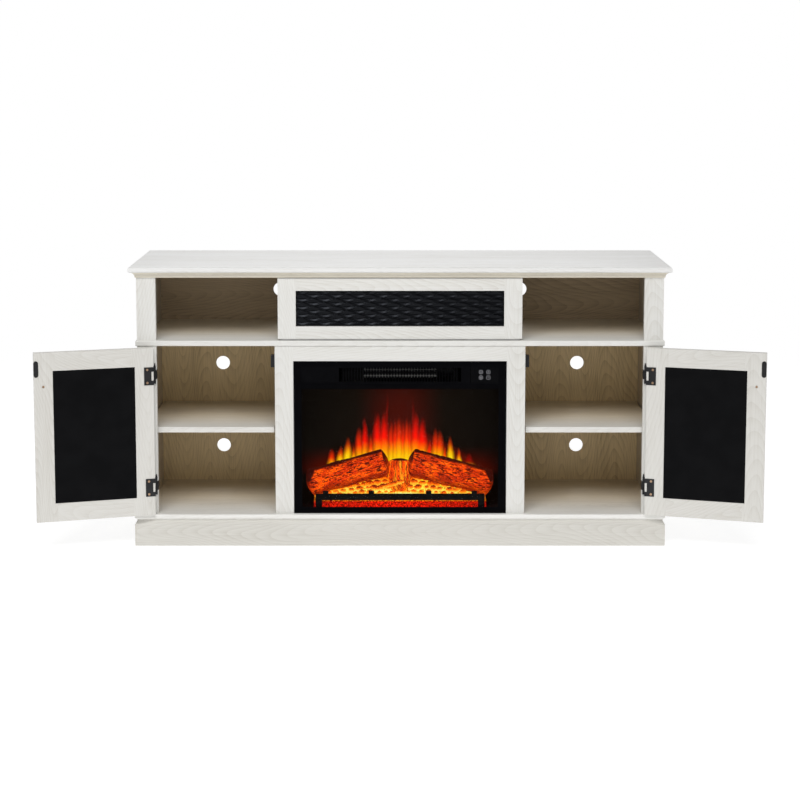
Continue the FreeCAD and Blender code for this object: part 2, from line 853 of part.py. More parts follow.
def casing():
    # steel sheets with an open front: floor, roof, ends and back, a deck under the heater and two duct sides
    inner_z = (chamber_floor, casing_z[1] - casing_sheet)
    depth = (bezel_back, casing_rear)
    floor = block((-casing_half, casing_half), depth, (casing_z[0], chamber_floor))
    roof = block((-casing_half, casing_half), depth, (inner_z[1], casing_z[1]))
    end = block((chamber_half, casing_half), depth, inner_z)
    rear = block((-chamber_half, chamber_half), (chamber_rear, casing_rear), inner_z)
    deck = block((-chamber_half, chamber_half), (glass_rear, chamber_rear), (deck_under, deck_top))
    duct_y = (grille_rear + fin_depth, blower_axis.y + blower_radius + duct_margin)
    duct = block((duct_half, duct_half + duct_sheet), duct_y, (deck_top, inner_z[1]))
    foot_y = (casing_rear - foot_depth, casing_rear)
    foot = block((casing_half - foot_width, casing_half), foot_y, (bottom_top, casing_z[0]))
    duct_out = duct_half + duct_sheet + overrun
    duct_bore = rod(blower_axis - x_axis * duct_out, x_axis, 2 * duct_out, blower_shaft + shaft_play)
    side_start = rotor_axis - x_axis * (casing_half + overrun)
    side_hole = rod(side_start, x_axis, casing_sheet + 2 * overrun, rotor_shaft + shaft_play)
    rear_cuts = [rod(gland_point - y_axis * (casing_sheet + overrun), y_axis, casing_sheet + 2 * overrun,
                     gland_radius + shaft_play)]
    for row in range(slot_rows):
        level = casing_z[1] - slot_drop + slot_pitch * row - slot_pitch * (slot_rows - 1) / 2
        slot_z = (level - slot_height / 2, level + slot_height / 2)
        for sign in (-1, 1):
            middle = sign * slot_at
            slot_x = (middle - slot_width / 2, middle + slot_width / 2)
            rear_cuts.append(block(slot_x, (chamber_rear - overrun, casing_rear + overrun), slot_z))
    sheets = [floor, roof, end, mirrored(end).cut(side_hole), cut_all(rear, rear_cuts), deck]
    return sheets + [side.cut(duct_bore) for side in both(duct)] + both(foot)


def gland():
    start = gland_point - y_axis * casing_sheet
    bush = rod(start, y_axis, gland_length, gland_radius)
    flange = rod(gland_point, y_axis, gland_flange_sheet, gland_flange)
    bore = rod(start - y_axis * overrun, y_axis, gland_length + 2 * overrun, gland_bore)
    return union([bush, flange]).cut(bore)


strip_left = -window_half - strip_lap
strip_right = window_half + strip_lap
control_left = strip_right - control_width
grille_right = control_left - control_gap
strip_plate_z = (strip_z[0] - strip_lap, strip_z[1] + strip_lap)


def vent_grille():
    # one moulding with a plain left part and upright fins before the heater
    depth = (bezel_back, grille_rear)
    plate = block((strip_left, grille_right), depth, strip_plate_z)
    opening_z = (strip_z[0] + fin_frame, strip_z[1] - fin_frame)
    through = (bezel_back - overrun, grille_rear + overrun)
    plate = plate.cut(block((-grille_half, grille_half), through, opening_z))
    fins = []
    count = int(2 * grille_half / fin_pitch)
    for place in range(1, count):
        middle = fin_pitch * place - fin_pitch * count / 2
        fin_x = (middle - fin_width / 2, middle + fin_width / 2)
        fins.append(block(fin_x, (bezel_back, bezel_back + fin_depth), opening_z))
    return union([plate, *fins])


strip_middle = (strip_z[0] + strip_z[1]) / 2
control_middle = Vector((control_left + strip_right - strip_lap) / 2, bezel_back, strip_middle)
button_names = ("button_power", "button_flame", "button_heat", "button_timer")


def button_points():
    points = []
    for row in (1, -1):
        for column in (-1, 1):
            shift = Vector(column * button_pitch_x / 2, 0, row * button_pitch_z / 2)
            points.append(control_middle + shift)
    return points


# Controls at the right of the strip
def make_controls():
    plate = block((control_left, strip_right), (bezel_back, grille_rear), strip_plate_z)
    for point in button_points():
        start = point - y_axis * overrun
        plate = plate.cut(rod(start, y_axis, grille_sheet + 2 * overrun, button_radius + button_play))
    save("control_panel", plate)
    for name, point in zip(button_names, button_points()):
        front = point - y_axis * button_proud
        cap = rod(front, y_axis, button_proud + grille_sheet, button_radius)
        flange = rod(point + y_axis * grille_sheet, y_axis, button_flange_sheet, button_flange)
        save(name, union([cap, flange]))
    switch_front = grille_rear + button_flange_sheet + button_travel + switch_gap
    board_y = (switch_front + switch_height, switch_front + switch_height + board_sheet)
    half_x = button_pitch_x / 2 + button_flange + board_margin
    half_z = button_pitch_z / 2 + button_flange + board_post
    board_x = (control_middle.x - half_x, control_middle.x + half_x)
    board_z = (control_middle.z - half_z, control_middle.z + half_z)
    pieces = [block(board_x, board_y, board_z)]
    for point in button_points():
        low = point - Vector(switch_size / 2, 0, switch_size / 2)
        switch_x = (low.x, low.x + switch_size)
        switch_z = (low.z, low.z + switch_size)
        pieces.append(block(switch_x, (switch_front, board_y[0]), switch_z))
    for post_x in (board_x[0], board_x[1] - board_post):
        for post_z in (board_z[0], board_z[1] - board_post):
            post = (post_x, post_x + board_post)
            pieces.append(block(post, (grille_rear, board_y[0]), (post_z, post_z + board_post)))
    save("control_board", union(pieces))


def heater_row(level):
    # a core strip that ends on the duct sides, with upright fins along it
    front = grille_rear + heater_behind
    middle = front + heater_depth / 2
    core_y = (middle - heater_core / 2, middle + heater_core / 2)
    pieces = [block((-duct_half, duct_half), core_y, (level - heater_core / 2, level + heater_core / 2))]
    pitch = 2 * duct_half / heater_fins
    for place in range(heater_fins):
        x = pitch * (place + 1 / 2) - duct_half
        fin_x = (x - heater_fin / 2, x + heater_fin / 2)
        fin_z = (level - heater_row_height / 2, level + heater_row_height / 2)
        pieces.append(block(fin_x, (front, front + heater_depth), fin_z))
    return union(pieces)


def polar(radius, angle):
    turn = math.radians(angle)
    return Vector(0, radius * math.cos(turn), radius * math.sin(turn))


def blower_wheel():
    half = duct_half - blower_end_play
    inner = blower_radius * blade_inner_share
    middle = blower_radius * blade_mid_share
    outer = blower_radius - blower_disc / 2
    start = blower_axis - x_axis * (half - blower_disc / 2)
    pieces = []
    for place in range(blower_blades):
        turn = 360 * place / blower_blades
        concave = [polar(inner, turn), polar(middle, turn + blade_bow), polar(outer, turn + blade_lean)]
        convex = [polar(inner, turn + blade_thick), polar(middle, turn + blade_bow + blade_thick),
                  polar(outer, turn + blade_lean + blade_thick)]
        edges = [Part.Arc(*concave).toShape(), Part.Arc(*convex).toShape()]
        edges.append(Part.LineSegment(concave[0], convex[0]).toShape())
        edges.append(Part.LineSegment(concave[2], convex[2]).toShape())
        blade = closed_face(edges).extrude(x_axis * (2 * half - blower_disc))
        pieces.append(blade.translated(start))
    for x in (-half, -blower_disc / 2, half - blower_disc):
        pieces.append(rod(blower_axis + x_axis * x, x_axis, blower_disc, blower_radius))
    left_end = duct_half + duct_sheet
    shaft_length = left_end + duct_half + duct_sheet + motor_length / 2
    pieces.append(rod(blower_axis - x_axis * left_end, x_axis, shaft_length, blower_shaft))
    return union(pieces)


def flame_rotor():
    # a spindle with bright flags set at steady turns, to throw moving light on the screen
    left_end = -casing_half
    right_end = chamber_half - rotor_motor_length / 2
    pieces = [rod(rotor_axis + x_axis * left_end, x_axis, right_end - left_end, rotor_shaft)]
    pitch = 2 * rotor_half / rotor_flags
    for place in range(rotor_flags):
        middle = pitch * (place + 1 / 2) - rotor_half
        flag_x = (middle - flag_width / 2, middle + flag_width / 2)
        flag = block(flag_x, (-flag_sheet / 2, flag_sheet / 2), (0, rotor_radius))
        flag = flag.rotated(centre, x_axis, flag_turn * place)
        pieces.append(flag.translated(rotor_axis))
    return union(pieces)


# Heater, blower and motors
def make_heater():
    save("vent_grille", vent_grille())
    rise = (heater_row_height + heater_row_gap) / 2
    save("heater_element", heater_row(blower_axis.z - rise), heater_row(blower_axis.z + rise))
    save("blower_wheel", blower_wheel())
    save("flame_rotor", flame_rotor())
    duct_end = duct_half + duct_sheet
    blower_start = blower_axis + x_axis * duct_end
    blower_motor = rod(blower_start, x_axis, motor_length, motor_radius)
    bore = rod(blower_start, x_axis, motor_length / 2 + shaft_play, blower_shaft + shaft_play)
    rotor_start = rotor_axis + x_axis * (chamber_half - rotor_motor_length)
    rotor_motor = rod(rotor_start, x_axis, rotor_motor_length, rotor_motor_radius)
    rotor_bore = rod(rotor_start, x_axis, rotor_motor_length / 2 + shaft_play, rotor_shaft + shaft_play)
    save("drive_motors", blower_motor.cut(bore), rotor_motor.cut(rotor_bore))


grate_front = glass_rear + grate_gap
grate_rear = grate_front + grate_bar
bed_front = grate_rear + bed_gap
screen_front = bezel_back + screen_back
bed_rear = screen_front - bed_gap


def log(points, radii, grow):
    # a loft through rough rings, each set square to the log's own line and turned a little
    rings = []
    for place, point in enumerate(points):
        before = points[max(place - 1, 0)]
        after = points[min(place + 1, len(points) - 1)]
        along = (after - before).normalize()
        side = z_axis.cross(along).normalize()
        over = along.cross(side)
        corners = []
        for corner, share in enumerate(log_ring_shares):
            turn = math.radians(360 * corner / len(log_ring_shares) + log_twist * place)
            reach = radii[place] * share + grow
            corners.append(point + (side * math.cos(turn) + over * math.sin(turn)) * reach)
        rings.append(Part.makePolygon(corners + corners[:1]))
    return Part.makeLoft(rings, True, True)


def log_points(x_shares, y_shares, z_shares):
    tall = deck_under - chamber_floor
    deep = bed_rear - bed_front
    points = []
    for x, y, z in zip(x_shares, y_shares, z_shares):
        points.append(Vector(x * chamber_half, bed_front + y * deep, chamber_floor + z * tall))
    return points


def logs(grow):
    radii = (log_end_radius, log_radius, log_radius)
    left = log_points(left_log_x_shares, log_y_shares, log_z_shares)
    right = log_points(right_log_x_shares, log_y_shares, log_z_shares)
    stub = log_points(stub_x_shares, stub_y_shares, stub_z_shares)
    stub_radii = (stub_foot_radius, stub_radius, stub_radius)
    return [log(left, radii, grow), log(right, radii, grow), log(stub, stub_radii, grow)]


def ember_bed():
    # a crowned heap: one outline seen from the side and one from the front
    brow = bed_front + (bed_rear - bed_front) * bed_brow_share
    side = [(bed_front, 0), (bed_front, bed_front_height), (brow, bed_back_height)]
    side += [(bed_rear, bed_front_height), (bed_rear, 0), (bed_front, 0)]
    heap, _ = edge_curves(side, lambda y, z: Vector(-bed_half, y, chamber_floor + z))
    heap = closed_face(heap).extrude(x_axis * (2 * bed_half))
    arch = [(-bed_half, 0), (-bed_half, bed_end_height), (0, bed_crown_height, bed_half, bed_end_height)]
    arch += [(bed_half, 0), (-bed_half, 0)]
    crown, _ = edge_curves(arch, lambda x, z: Vector(x, bed_front, chamber_floor + z))
    crown = closed_face(crown).extrude(y_axis * (bed_rear - bed_front))
    channel = light_channel(light_margin)
    return cut_all(heap.common(crown), [channel, *logs(log_play)])


def light_channel(margin):
    middle = (bed_front + bed_rear) / 2
    half = light_half + margin
    wide = light_width / 2 + margin
    tall = (chamber_floor, chamber_floor + light_sheet + 2 * margin)
    return block((-half, half), (middle - wide, middle + wide), tall)


def light_board():
    middle = (bed_front + bed_rear) / 2
    strip_y = (middle - light_width / 2, middle + light_width / 2)
    pieces = [block((-light_half, light_half), strip_y, (chamber_floor, chamber_floor + light_sheet))]
    pitch = 2 * light_half / light_count
    for place in range(light_count):
        x = pitch * (place + 1 / 2) - light_half
        lamp = (x - light_size / 2, x + light_size / 2)
        lamp_y = (middle - light_size / 2, middle + light_size / 2)
        lamp_z = (chamber_floor + light_sheet, chamber_floor + light_sheet + light_size)
        pieces.append(block(lamp, lamp_y, lamp_z))
    return union(pieces)


def grate():
    # a bar across the front that stands on a leg at each end and carries four lugs
    low = chamber_floor + grate_rise
    high = low + grate_height
    depth = (grate_front, grate_rear)
    bar = block((-grate_half, grate_half), depth, (low, high))
    leg = block((grate_half - grate_leg, grate_half), depth, (chamber_floor, high))
    pieces = [bar, *both(leg)]
    for at in lug_at:
        lug = block((at - lug_width / 2, at + lug_width / 2), depth, (low, high + lug_height))
        pieces += both(lug)
    return union(pieces)


# Insert shell, glass and the fire picture
def make_fire():
    save("insert_bezel", bezel())
    save("insert_casing", *casing())
    save("cord_gland", gland())
    glass_half = window_half + glass_lap
    glass_z = (window_z[0] - glass_lap, window_z[1] + glass_lap)
    save("insert_glass", block((-glass_half, glass_half), (bezel_back, glass_rear), glass_z))
    screen_half = chamber_half - screen_play
    screen_y = (screen_front, screen_front + screen_sheet)
    save("flame_screen", block((-screen_half, screen_half), screen_y, (chamber_floor, deck_under)))
    left, right, stub = logs(0)
    save("log_left", left)
    save("log_right", right)
    save("log_centre", stub)
    save("ember_bed", ember_bed())
    save("light_board", light_board())
    save("grate", grate())


os.makedirs("parts", exist_ok=True)
make_slabs()
make_uprights()
make_backs()
make_shelves()
make_doors()
make_flap()
make_hardware()
make_heater()
make_controls()
make_fire()
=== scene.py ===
import json
import math
import random

import bpy
from mathutils import Matrix, Vector, noise


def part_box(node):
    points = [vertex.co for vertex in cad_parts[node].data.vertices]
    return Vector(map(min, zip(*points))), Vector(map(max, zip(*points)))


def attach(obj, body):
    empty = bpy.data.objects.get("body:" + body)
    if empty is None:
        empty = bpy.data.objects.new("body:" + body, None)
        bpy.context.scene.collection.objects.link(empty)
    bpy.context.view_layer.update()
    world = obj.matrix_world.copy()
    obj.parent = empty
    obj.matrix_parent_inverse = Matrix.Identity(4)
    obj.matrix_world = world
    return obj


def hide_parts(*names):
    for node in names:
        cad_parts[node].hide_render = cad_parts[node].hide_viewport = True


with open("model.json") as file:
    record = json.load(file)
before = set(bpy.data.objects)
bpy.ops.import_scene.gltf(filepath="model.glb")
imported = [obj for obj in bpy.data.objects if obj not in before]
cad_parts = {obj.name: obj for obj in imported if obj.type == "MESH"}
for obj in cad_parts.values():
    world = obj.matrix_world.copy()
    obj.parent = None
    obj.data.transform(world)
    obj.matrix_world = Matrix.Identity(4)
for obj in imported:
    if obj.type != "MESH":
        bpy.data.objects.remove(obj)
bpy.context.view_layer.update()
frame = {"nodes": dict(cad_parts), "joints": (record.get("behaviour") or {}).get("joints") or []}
nodes = frame["nodes"]
joints = {joint["name"]: joint for joint in frame["joints"]}


class Wire:  # a socket that can stand in a sum
    def __init__(self, finish, socket):
        self.finish = finish
        self.socket = socket

    def maths(self, operation, *terms):
        return self.finish.node("Math", {"operation": operation}, dict(enumerate(terms)))

    def __add__(self, other):
        return self.maths("ADD", self, other)

    def __radd__(self, other):
        return self.maths("ADD", other, self)

    def __sub__(self, other):
        return self.maths("SUBTRACT", self, other)

    def __rsub__(self, other):
        return self.maths("SUBTRACT", other, self)

    def __mul__(self, other):
        return self.maths("MULTIPLY", self, other)

    def __rmul__(self, other):
        return self.maths("MULTIPLY", other, self)

    def __truediv__(self, other):
        return self.maths("DIVIDE", self, other)

    def __rtruediv__(self, other):
        return self.maths("DIVIDE", other, self)

    def __pow__(self, other):
        return self.maths("POWER", self, other)

    def __abs__(self):
        return self.maths("ABSOLUTE", self)

    def atLeast(self, other):
        return self.maths("MAXIMUM", self, other)

    def atMost(self, other):
        return self.maths("MINIMUM", self, other)

    def wave(self):
        return self.maths("COSINE", self)

    def remainder(self):
        return self.maths("FRACT", self)

    def fade(self, low, high):  # 0 below low, 1 above high, smooth between
        settings = {"interpolation_type": "SMOOTHSTEP"}
        return self.finish.node("MapRange", settings, {"Value": self, "From Min": low, "From Max": high})


class Finish:  # one material, built node by node
    def __init__(self, name, fixed):
        self.material = bpy.data.materials.new(name)
        self.material.use_nodes = True
        self.tree = self.material.node_tree
        self.shader = self.tree.nodes["Principled BSDF"]
        self.feed(fixed)

    def feed(self, sockets):
        self.link(self.shader, sockets)

    def link(self, made, sockets):
        for key, value in sockets.items():
            if isinstance(value, Wire):
                self.tree.links.new(value.socket, made.inputs[key])
            else:
                made.inputs[key].default_value = value

    def node(self, kind, settings, sockets, output=0):
        made = self.tree.nodes.new("ShaderNode" + kind)
        for key, value in settings.items():
            setattr(made, key, value)
        self.link(made, sockets)
        return Wire(self, made.outputs[output])

    def split(self, vector):
        first = self.node("SeparateXYZ", {}, {"Vector": vector})
        return [Wire(self, output) for output in first.socket.node.outputs]

    def join(self, x, y, z):
        return self.node("CombineXYZ", {}, {0: x, 1: y, 2: z})

    def place(self):  # metres in the shared frame
        return self.split(self.node("TexCoord", {}, {}, "Object"))

    def kept(self, name):  # a number kept on the mesh's points
        return self.node("Attribute", {"attribute_name": name}, {}, "Fac")

    def cloud(self, x, y, z, detail=2.0, rough=0.5):
        sockets = {"Vector": self.join(x, y, z), "Scale": 1.0, "Detail": detail, "Roughness": rough}
        return self.node("TexNoise", {}, sockets)

    def evenCloud(self, pitch, detail, rough=0.5):  # pitch in cells a metre
        x, y, z = self.place()
        return self.cloud(x * pitch, y * pitch, z * pitch, detail, rough)

    def edges(self, x, y, z):  # 0 on the borders of cells
        sockets = {"Vector": self.join(x, y, z), "Scale": 1.0}
        return self.node("TexVoronoi", {"feature": "DISTANCE_TO_EDGE"}, sockets, "Distance")

    def mix(self, share, first, second):
        sockets = {0: share, 6: opaque(first), 7: opaque(second)}
        return self.node("Mix", {"data_type": "RGBA"}, sockets, 2)

    def colour(self, red, green, blue):
        return self.node("CombineColor", {}, {0: red, 1: green, 2: blue})

    def bump(self, height, depth, strength):
        sockets = {"Height": height, "Distance": depth, "Strength": strength}
        return self.node("Bump", {}, sockets, "Normal")


class Sky(Finish):  # the world's nodes, built the same way
    def __init__(self, name):
        self.world = bpy.data.worlds.new(name)
        self.world.use_nodes = True
        self.tree = self.world.node_tree
        self.tree.nodes.remove(self.tree.nodes["Background"])
        self.shader = self.tree.nodes["World Output"]


def opaque(colour):
    return colour if isinstance(colour, Wire) else (*colour, 1.0)


def dress(finish, *names):
    for name in names:
        slots = nodes[name].data.materials
        slots.clear()
        slots.append(finish.material)


def addPiece(name, corners, faces, finish, body, smooth=True):
    mesh = bpy.data.meshes.new(name)
    mesh.from_pydata(corners, [], faces)
    mesh.polygons.foreach_set("use_smooth", [smooth] * len(mesh.polygons))
    mesh.materials.append(finish.material)
    piece = bpy.data.objects.new(name, mesh)
    bpy.context.scene.collection.objects.link(piece)
    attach(piece, body)
    return piece


def keep(piece, name, values):
    piece.data.attributes.new(name, "FLOAT", "POINT").data.foreach_set("value", values)


# White oak boards
oak = {
    "pale": (0.79, 0.785, 0.755),
    "grain": (0.60, 0.575, 0.52),
    "heart": 0.15,  # metres from one figure to the next across a board
    "arch": 0.042,  # metres from ring to ring along a board
    "crowd": 3.2,  # rings between the middle and the side of a figure
    "wander": 2.6,  # how far the rings stray, and the figures
    "bend": 5,
    "wanderPitch": (1.7, 6.5, 0.7),  # cells a metre along, across and through a board
    "broadPitch": (2.3, 16, 3),
    "fibrePitch": (9, 330, 40),
    "porePitch": (60, 1500, 200),
    "ringEdge": 2.2,  # higher for thinner rings
    "ringShare": 0.30,
    "fibreFade": (0.35, 0.75),
    "fibreShare": 0.55,
    "poreFade": (0.6, 0.78),
    "poreShare": 0.35,
    "broadShare": 0.3,
    "rough": (0.46, 0.62),
    "specular": 0.25,
    "depth": 0.0003,
    "seam": 0.0002,  # half the width of a step from tone to tone
    "boards": ((0.62, 0.49, 0.30), (0.39, 0.30, 0.18)),  # painted shade: darker, browner tones of the same wood on the board faces inside the bays
    # painted shade on the inner faces of the sides and dividers
    "walls": ((0.46, 0.365, 0.245), (0.29, 0.225, 0.145)),
    "outer": ((0.60, 0.55, 0.46), (0.44, 0.395, 0.315)),  # behind the back panels
    "bayShadeShare": 0.67,
    "bayShadeFade": (-0.185, 0.03),  # where the painted shade on the bay boards deepens, from the front to the back
    "bayWall": 0.702,  # inner faces of the sides
}


def oakFinish(name, run, look=oak, rails=None, bay=None, rear=None):
    finish = Finish(name, {"Specular IOR Level": look["specular"]})
    x, y, z = finish.place()
    step = (-look["seam"], look["seam"])
    if run == "level":
        along, side = x, y + z
    elif run == "deep":
        along, side = y, x + z
    else:
        along, side = z, x + y
    if rails:  # between the stiles the grain lies level
        rail = (x - rails[0]).fade(*step) * (rails[1] - x).fade(*step)
        along = along + rail * (x - along)
        side = side + rail * (y + z - side)

    def figured(pitch, detail, rough=0.5):
        return finish.cloud(along * pitch[0], side * pitch[1], side * pitch[2], detail, rough)

    wander = figured(look["wanderPitch"], 2) - 0.5
    figure = (side * (2 * math.pi / look["heart"]) + wander * look["bend"]).wave()
    ring = (along / look["arch"] + figure * look["crowd"] + wander * look["wander"]).remainder()
    ring = ring ** look["ringEdge"]
    fibre = figured(look["fibrePitch"], 3, 0.62)
    broad = figured(look["broadPitch"], 2)
    pore = figured(look["porePitch"], 1).fade(*look["poreFade"])
    tint = ring * look["ringShare"] * broad * 2
    tint = tint + fibre.fade(*look["fibreFade"]) * look["fibreShare"] * broad
    tint = (tint + pore * look["poreShare"] + (broad - 0.5) * look["broadShare"]).atLeast(0).atMost(1)
    low, high = look["rough"]
    tone = finish.mix(tint, look["pale"], look["grain"])
    # Painted shade: faces inside the bays take the darker tones, and on the boards more so towards the back
    if bay:
        bayShade = (look["bayWall"] - abs(x)).fade(*step)
        if bay == "boards":
            bayShade = bayShade * y.fade(*look["bayShadeFade"])
        tone = finish.mix(bayShade * look["bayShadeShare"], tone, finish.mix(tint, *look[bay]))
    if rear:
        tone = finish.mix((y - rear).fade(*step), tone, finish.mix(tint, *look["outer"]))
    finish.feed({
        "Base Color": tone,
        "Roughness": low + tint * (high - low),
        "Normal": finish.bump(1 - pore - fibre * 0.5, look["depth"], 0.5),
    })
    return finish


# Painted light and shade: lighter copies of the oak for the top and the shelf and bottom board fronts; darker
# ones for the door frames and the plinth; a darker, beige one for the cornice
paintedLightTopOak = {**oak, "pale": (0.875, 0.873, 0.863), "grain": (0.66, 0.64, 0.59), "ringShare": 0.12}
paintedShadeCorniceOak = {**oak, "pale": (0.80, 0.75, 0.64), "grain": (0.60, 0.545, 0.435), "ringShare": 0.10}
paintedShadeDoorOak = {**oak, "pale": (0.725, 0.712, 0.675), "grain": (0.55, 0.525, 0.47)}
paintedShadePlinthOak = {**oak, "pale": (0.69, 0.675, 0.63), "grain": (0.52, 0.495, 0.44)}
paintedLightBoardOak = {**oak, "pale": (0.815, 0.81, 0.78), "ringShare": 0.10}
paintedLightBottomOak = {**paintedLightBoardOak, "pale": (0.885, 0.88, 0.85),
             "boards": ((0.58, 0.45, 0.265), (0.365, 0.275, 0.16))}
# Painted shade: the back panels' faces in the bays get darker, browner copies of the oak, the upper panel
# darker than the lower ones
shadedLining = {**oak, "pale": (0.66, 0.53, 0.37), "grain": (0.40, 0.305, 0.20),
          "ringShare": 0.4, "fibreShare": 0.9}
lowShadedLining = {**shadedLining, "pale": (0.92, 0.75, 0.47), "grain": (0.58, 0.45, 0.26)}
oakWallsShaded = oakFinish("oakWallsShaded", "upright", bay="walls")

dress(oakFinish("oakTop", "level", paintedLightTopOak), "top_board")
dress(oakFinish("oakCornice", "level", paintedShadeCorniceOak), "cornice_moulding")
dress(oakFinish("oakLevel", "level"), "fireplace_top_rail", "base_rails")
dress(oakFinish("oakBoardsShaded", "level", paintedLightBoardOak, bay="boards"), "mid_shelf", "adjustable_shelves")
dress(oakFinish("oakBottomShaded", "level", paintedLightBottomOak, bay="boards"), "bottom_board")
dress(oakFinish("oakUpright", "upright"), "front_stiles", "fireplace_stiles")
dress(oakWallsShaded, "upper_sides", "lower_sides", "upper_dividers", "lower_dividers")
dress(oakFinish("oakPlinth", "level", paintedShadePlinthOak), "plinth_front")
dress(oakFinish("oakDeep", "deep", paintedShadePlinthOak), "plinth_sides")

for panel, name, run, look in (("upper_back_panel", "shadedLiningLevel", "level", shadedLining),
                               ("lower_back_panels", "shadedLiningUpright", "upright", lowShadedLining)):
    backLow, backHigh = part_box(panel)
    dress(oakFinish(name, run, look, rear=(backLow.y + backHigh.y) / 2), panel)

frameRebate = 0.0075  # how far a panel runs under its frame
for leaf, look in (("left_door", paintedShadeDoorOak), ("right_door", paintedShadeDoorOak), ("flap", oak)):
    panelLow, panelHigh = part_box(leaf + "_panel")
    rails = (panelLow.x + frameRebate, panelHigh.x - frameRebate)
    dress(oakFinish(leaf + "_frameOak", "upright", look, rails), leaf + "_frame")
print("oak boards dressed")


# Metal, plastic and rubber
hingeTones = ((0.010, 0.010, 0.011), (0.020, 0.020, 0.022))
leafTones = ((0.27, 0.268, 0.258), (0.34, 0.338, 0.326))
plain = {
    "hingeBlack": {"tones": hingeTones, "rough": (0.34, 0.5), "specular": 0.3},
    "frameLeaves": {"tones": hingeTones, "rough": (0.34, 0.5), "specular": 0.3,
                    "middle": leafTones, "middleEdge": (0.34, 0.35)},  # the leaf under the flap
    "leafSteel": {"tones": leafTones, "rough": (0.35, 0.5), "specular": 0.4},
    "screwBrass": {"tones": ((0.40, 0.26, 0.17), (0.55, 0.38, 0.25)),
                   "rough": (0.3, 0.45), "metal": 1.0},
    "pinSteel": {"tones": ((0.52, 0.52, 0.53), (0.66, 0.66, 0.67)),
                 "rough": (0.2, 0.4), "metal": 1.0},
    "catchGrey": {"tones": ((0.015, 0.015, 0.016), (0.03, 0.03, 0.032)),
                  "rough": (0.4, 0.6), "specular": 0.3},
    "insertBlack": {"tones": ((0.0012, 0.0012, 0.0018), (0.0020, 0.0020, 0.0028)),
                    "rough": (0.48, 0.62), "specular": 0.03, "finePitch": 900},
    "casingSteel": {"tones": ((0.012, 0.009, 0.009), (0.024, 0.018, 0.017)),
                    "rough": (0.10, 0.22), "specular": 0.6},
    "grilleBlack": {"tones": ((0.0014, 0.0014, 0.0020), (0.0026, 0.0026, 0.0034)),
                    "rough": (0.4, 0.55), "specular": 0.04},
    "controlBlack": {"tones": ((0.0016, 0.0016, 0.0022), (0.0026, 0.0026, 0.0032)),
                     "rough": (0.2, 0.3), "specular": 0.05},
    "buttonBlack": {"tones": ((0.003, 0.003, 0.004), (0.006, 0.006, 0.007)),
                    "rough": (0.3, 0.42), "specular": 0.06},
    # painted light: a paler copy of the heater metal, so the element shows in the duct's shade
    "heaterPaintedLight": {"tones": ((0.24, 0.24, 0.23), (0.36, 0.355, 0.34)),
                   "rough": (0.4, 0.6), "specular": 0.3},
    "blowerGrey": {"tones": ((0.03, 0.03, 0.03), (0.05, 0.05, 0.05)),
                   "rough": (0.4, 0.6), "specular": 0.2},
    "motorSteel": {"tones": ((0.020, 0.020, 0.021), (0.035, 0.035, 0.037)),
                   "rough": (0.4, 0.55), "specular": 0.2},
    "boardGreen": {"tones": ((0.010, 0.075, 0.028), (0.016, 0.11, 0.042)), "rough": (0.35, 0.5)},
    "rotorFoil": {"tones": ((0.70, 0.70, 0.71), (0.85, 0.85, 0.86)),
                  "rough": (0.1, 0.3), "metal": 1.0},
    "grateIron": {"tones": ((0.002, 0.0018, 0.0018), (0.006, 0.005, 0.005)),
                  "rough": (0.6, 0.8), "specular": 0.08, "depth": 0.0006},
    "glandRubber": {"tones": ((0.012, 0.012, 0.012), (0.022, 0.022, 0.022)),
                    "rough": (0.6, 0.8), "specular": 0.2},
}
plainUsual = {
    "specular": 0.5,
    "metal": 0.0,
    "broadPitch": 35,  # cells a metre
    "finePitch": 450,
    "broadShare": 0.6,
    "toneFade": (0.32, 0.68),
    "roughFade": (0.3, 0.7),
    "depth": 0.0001,
}


def plainFinish(name):
    look = {**plainUsual, **plain[name]}
    finish = Finish(name, {"Specular IOR Level": look["specular"], "Metallic": look["metal"]})
    broad = finish.evenCloud(look["broadPitch"], 3)
    fine = finish.evenCloud(look["finePitch"], 2)
    tone = (broad * look["broadShare"] + fine * (1 - look["broadShare"])).fade(*look["toneFade"])
    low, high = look["rough"]
    colour = finish.mix(tone, *look["tones"])
    if "middle" in look:
        aside = abs(finish.place()[0]).fade(*look["middleEdge"])
        colour = finish.mix(aside, finish.mix(tone, *look["middle"]), colour)
    finish.feed({
        "Base Color": colour,
        "Roughness": low + fine.fade(*look["roughFade"]) * (high - low),
        "Normal": finish.bump(fine, look["depth"], 0.6),
    })
    return finish


wearers = {
    "frameLeaves": ["hinge_frame_leaves"],
    "hingeBlack": ["hinge_pins", "left_door_hinge_leaves", "right_door_hinge_leaves", "left_door_strike",
                   "right_door_strike", "left_door_knob", "right_door_knob", "flap_strikes"],
    "leafSteel": ["flap_hinge_leaf"],
    "screwBrass": ["hinge_frame_screws", "left_door_screws", "right_door_screws"],
    "pinSteel": ["shelf_pins"],
    "catchGrey": ["magnetic_catches"],
    "insertBlack": ["insert_bezel"],
    "casingSteel": ["insert_casing"],
    "grilleBlack": ["vent_grille"],
    "controlBlack": ["control_panel"],
    "buttonBlack": ["button_power", "button_flame", "button_heat", "button_timer"],
    "heaterPaintedLight": ["heater_element"],
    "blowerGrey": ["blower_wheel"],
    "motorSteel": ["drive_motors"],
    "boardGreen": ["control_board", "light_board"],
    "rotorFoil": ["flame_rotor"],
    "grateIron": ["grate"],
    "glandRubber": ["cord_gland"],
}
for finishName, names in wearers.items():
    dress(plainFinish(finishName), *names)
print("small parts dressed")


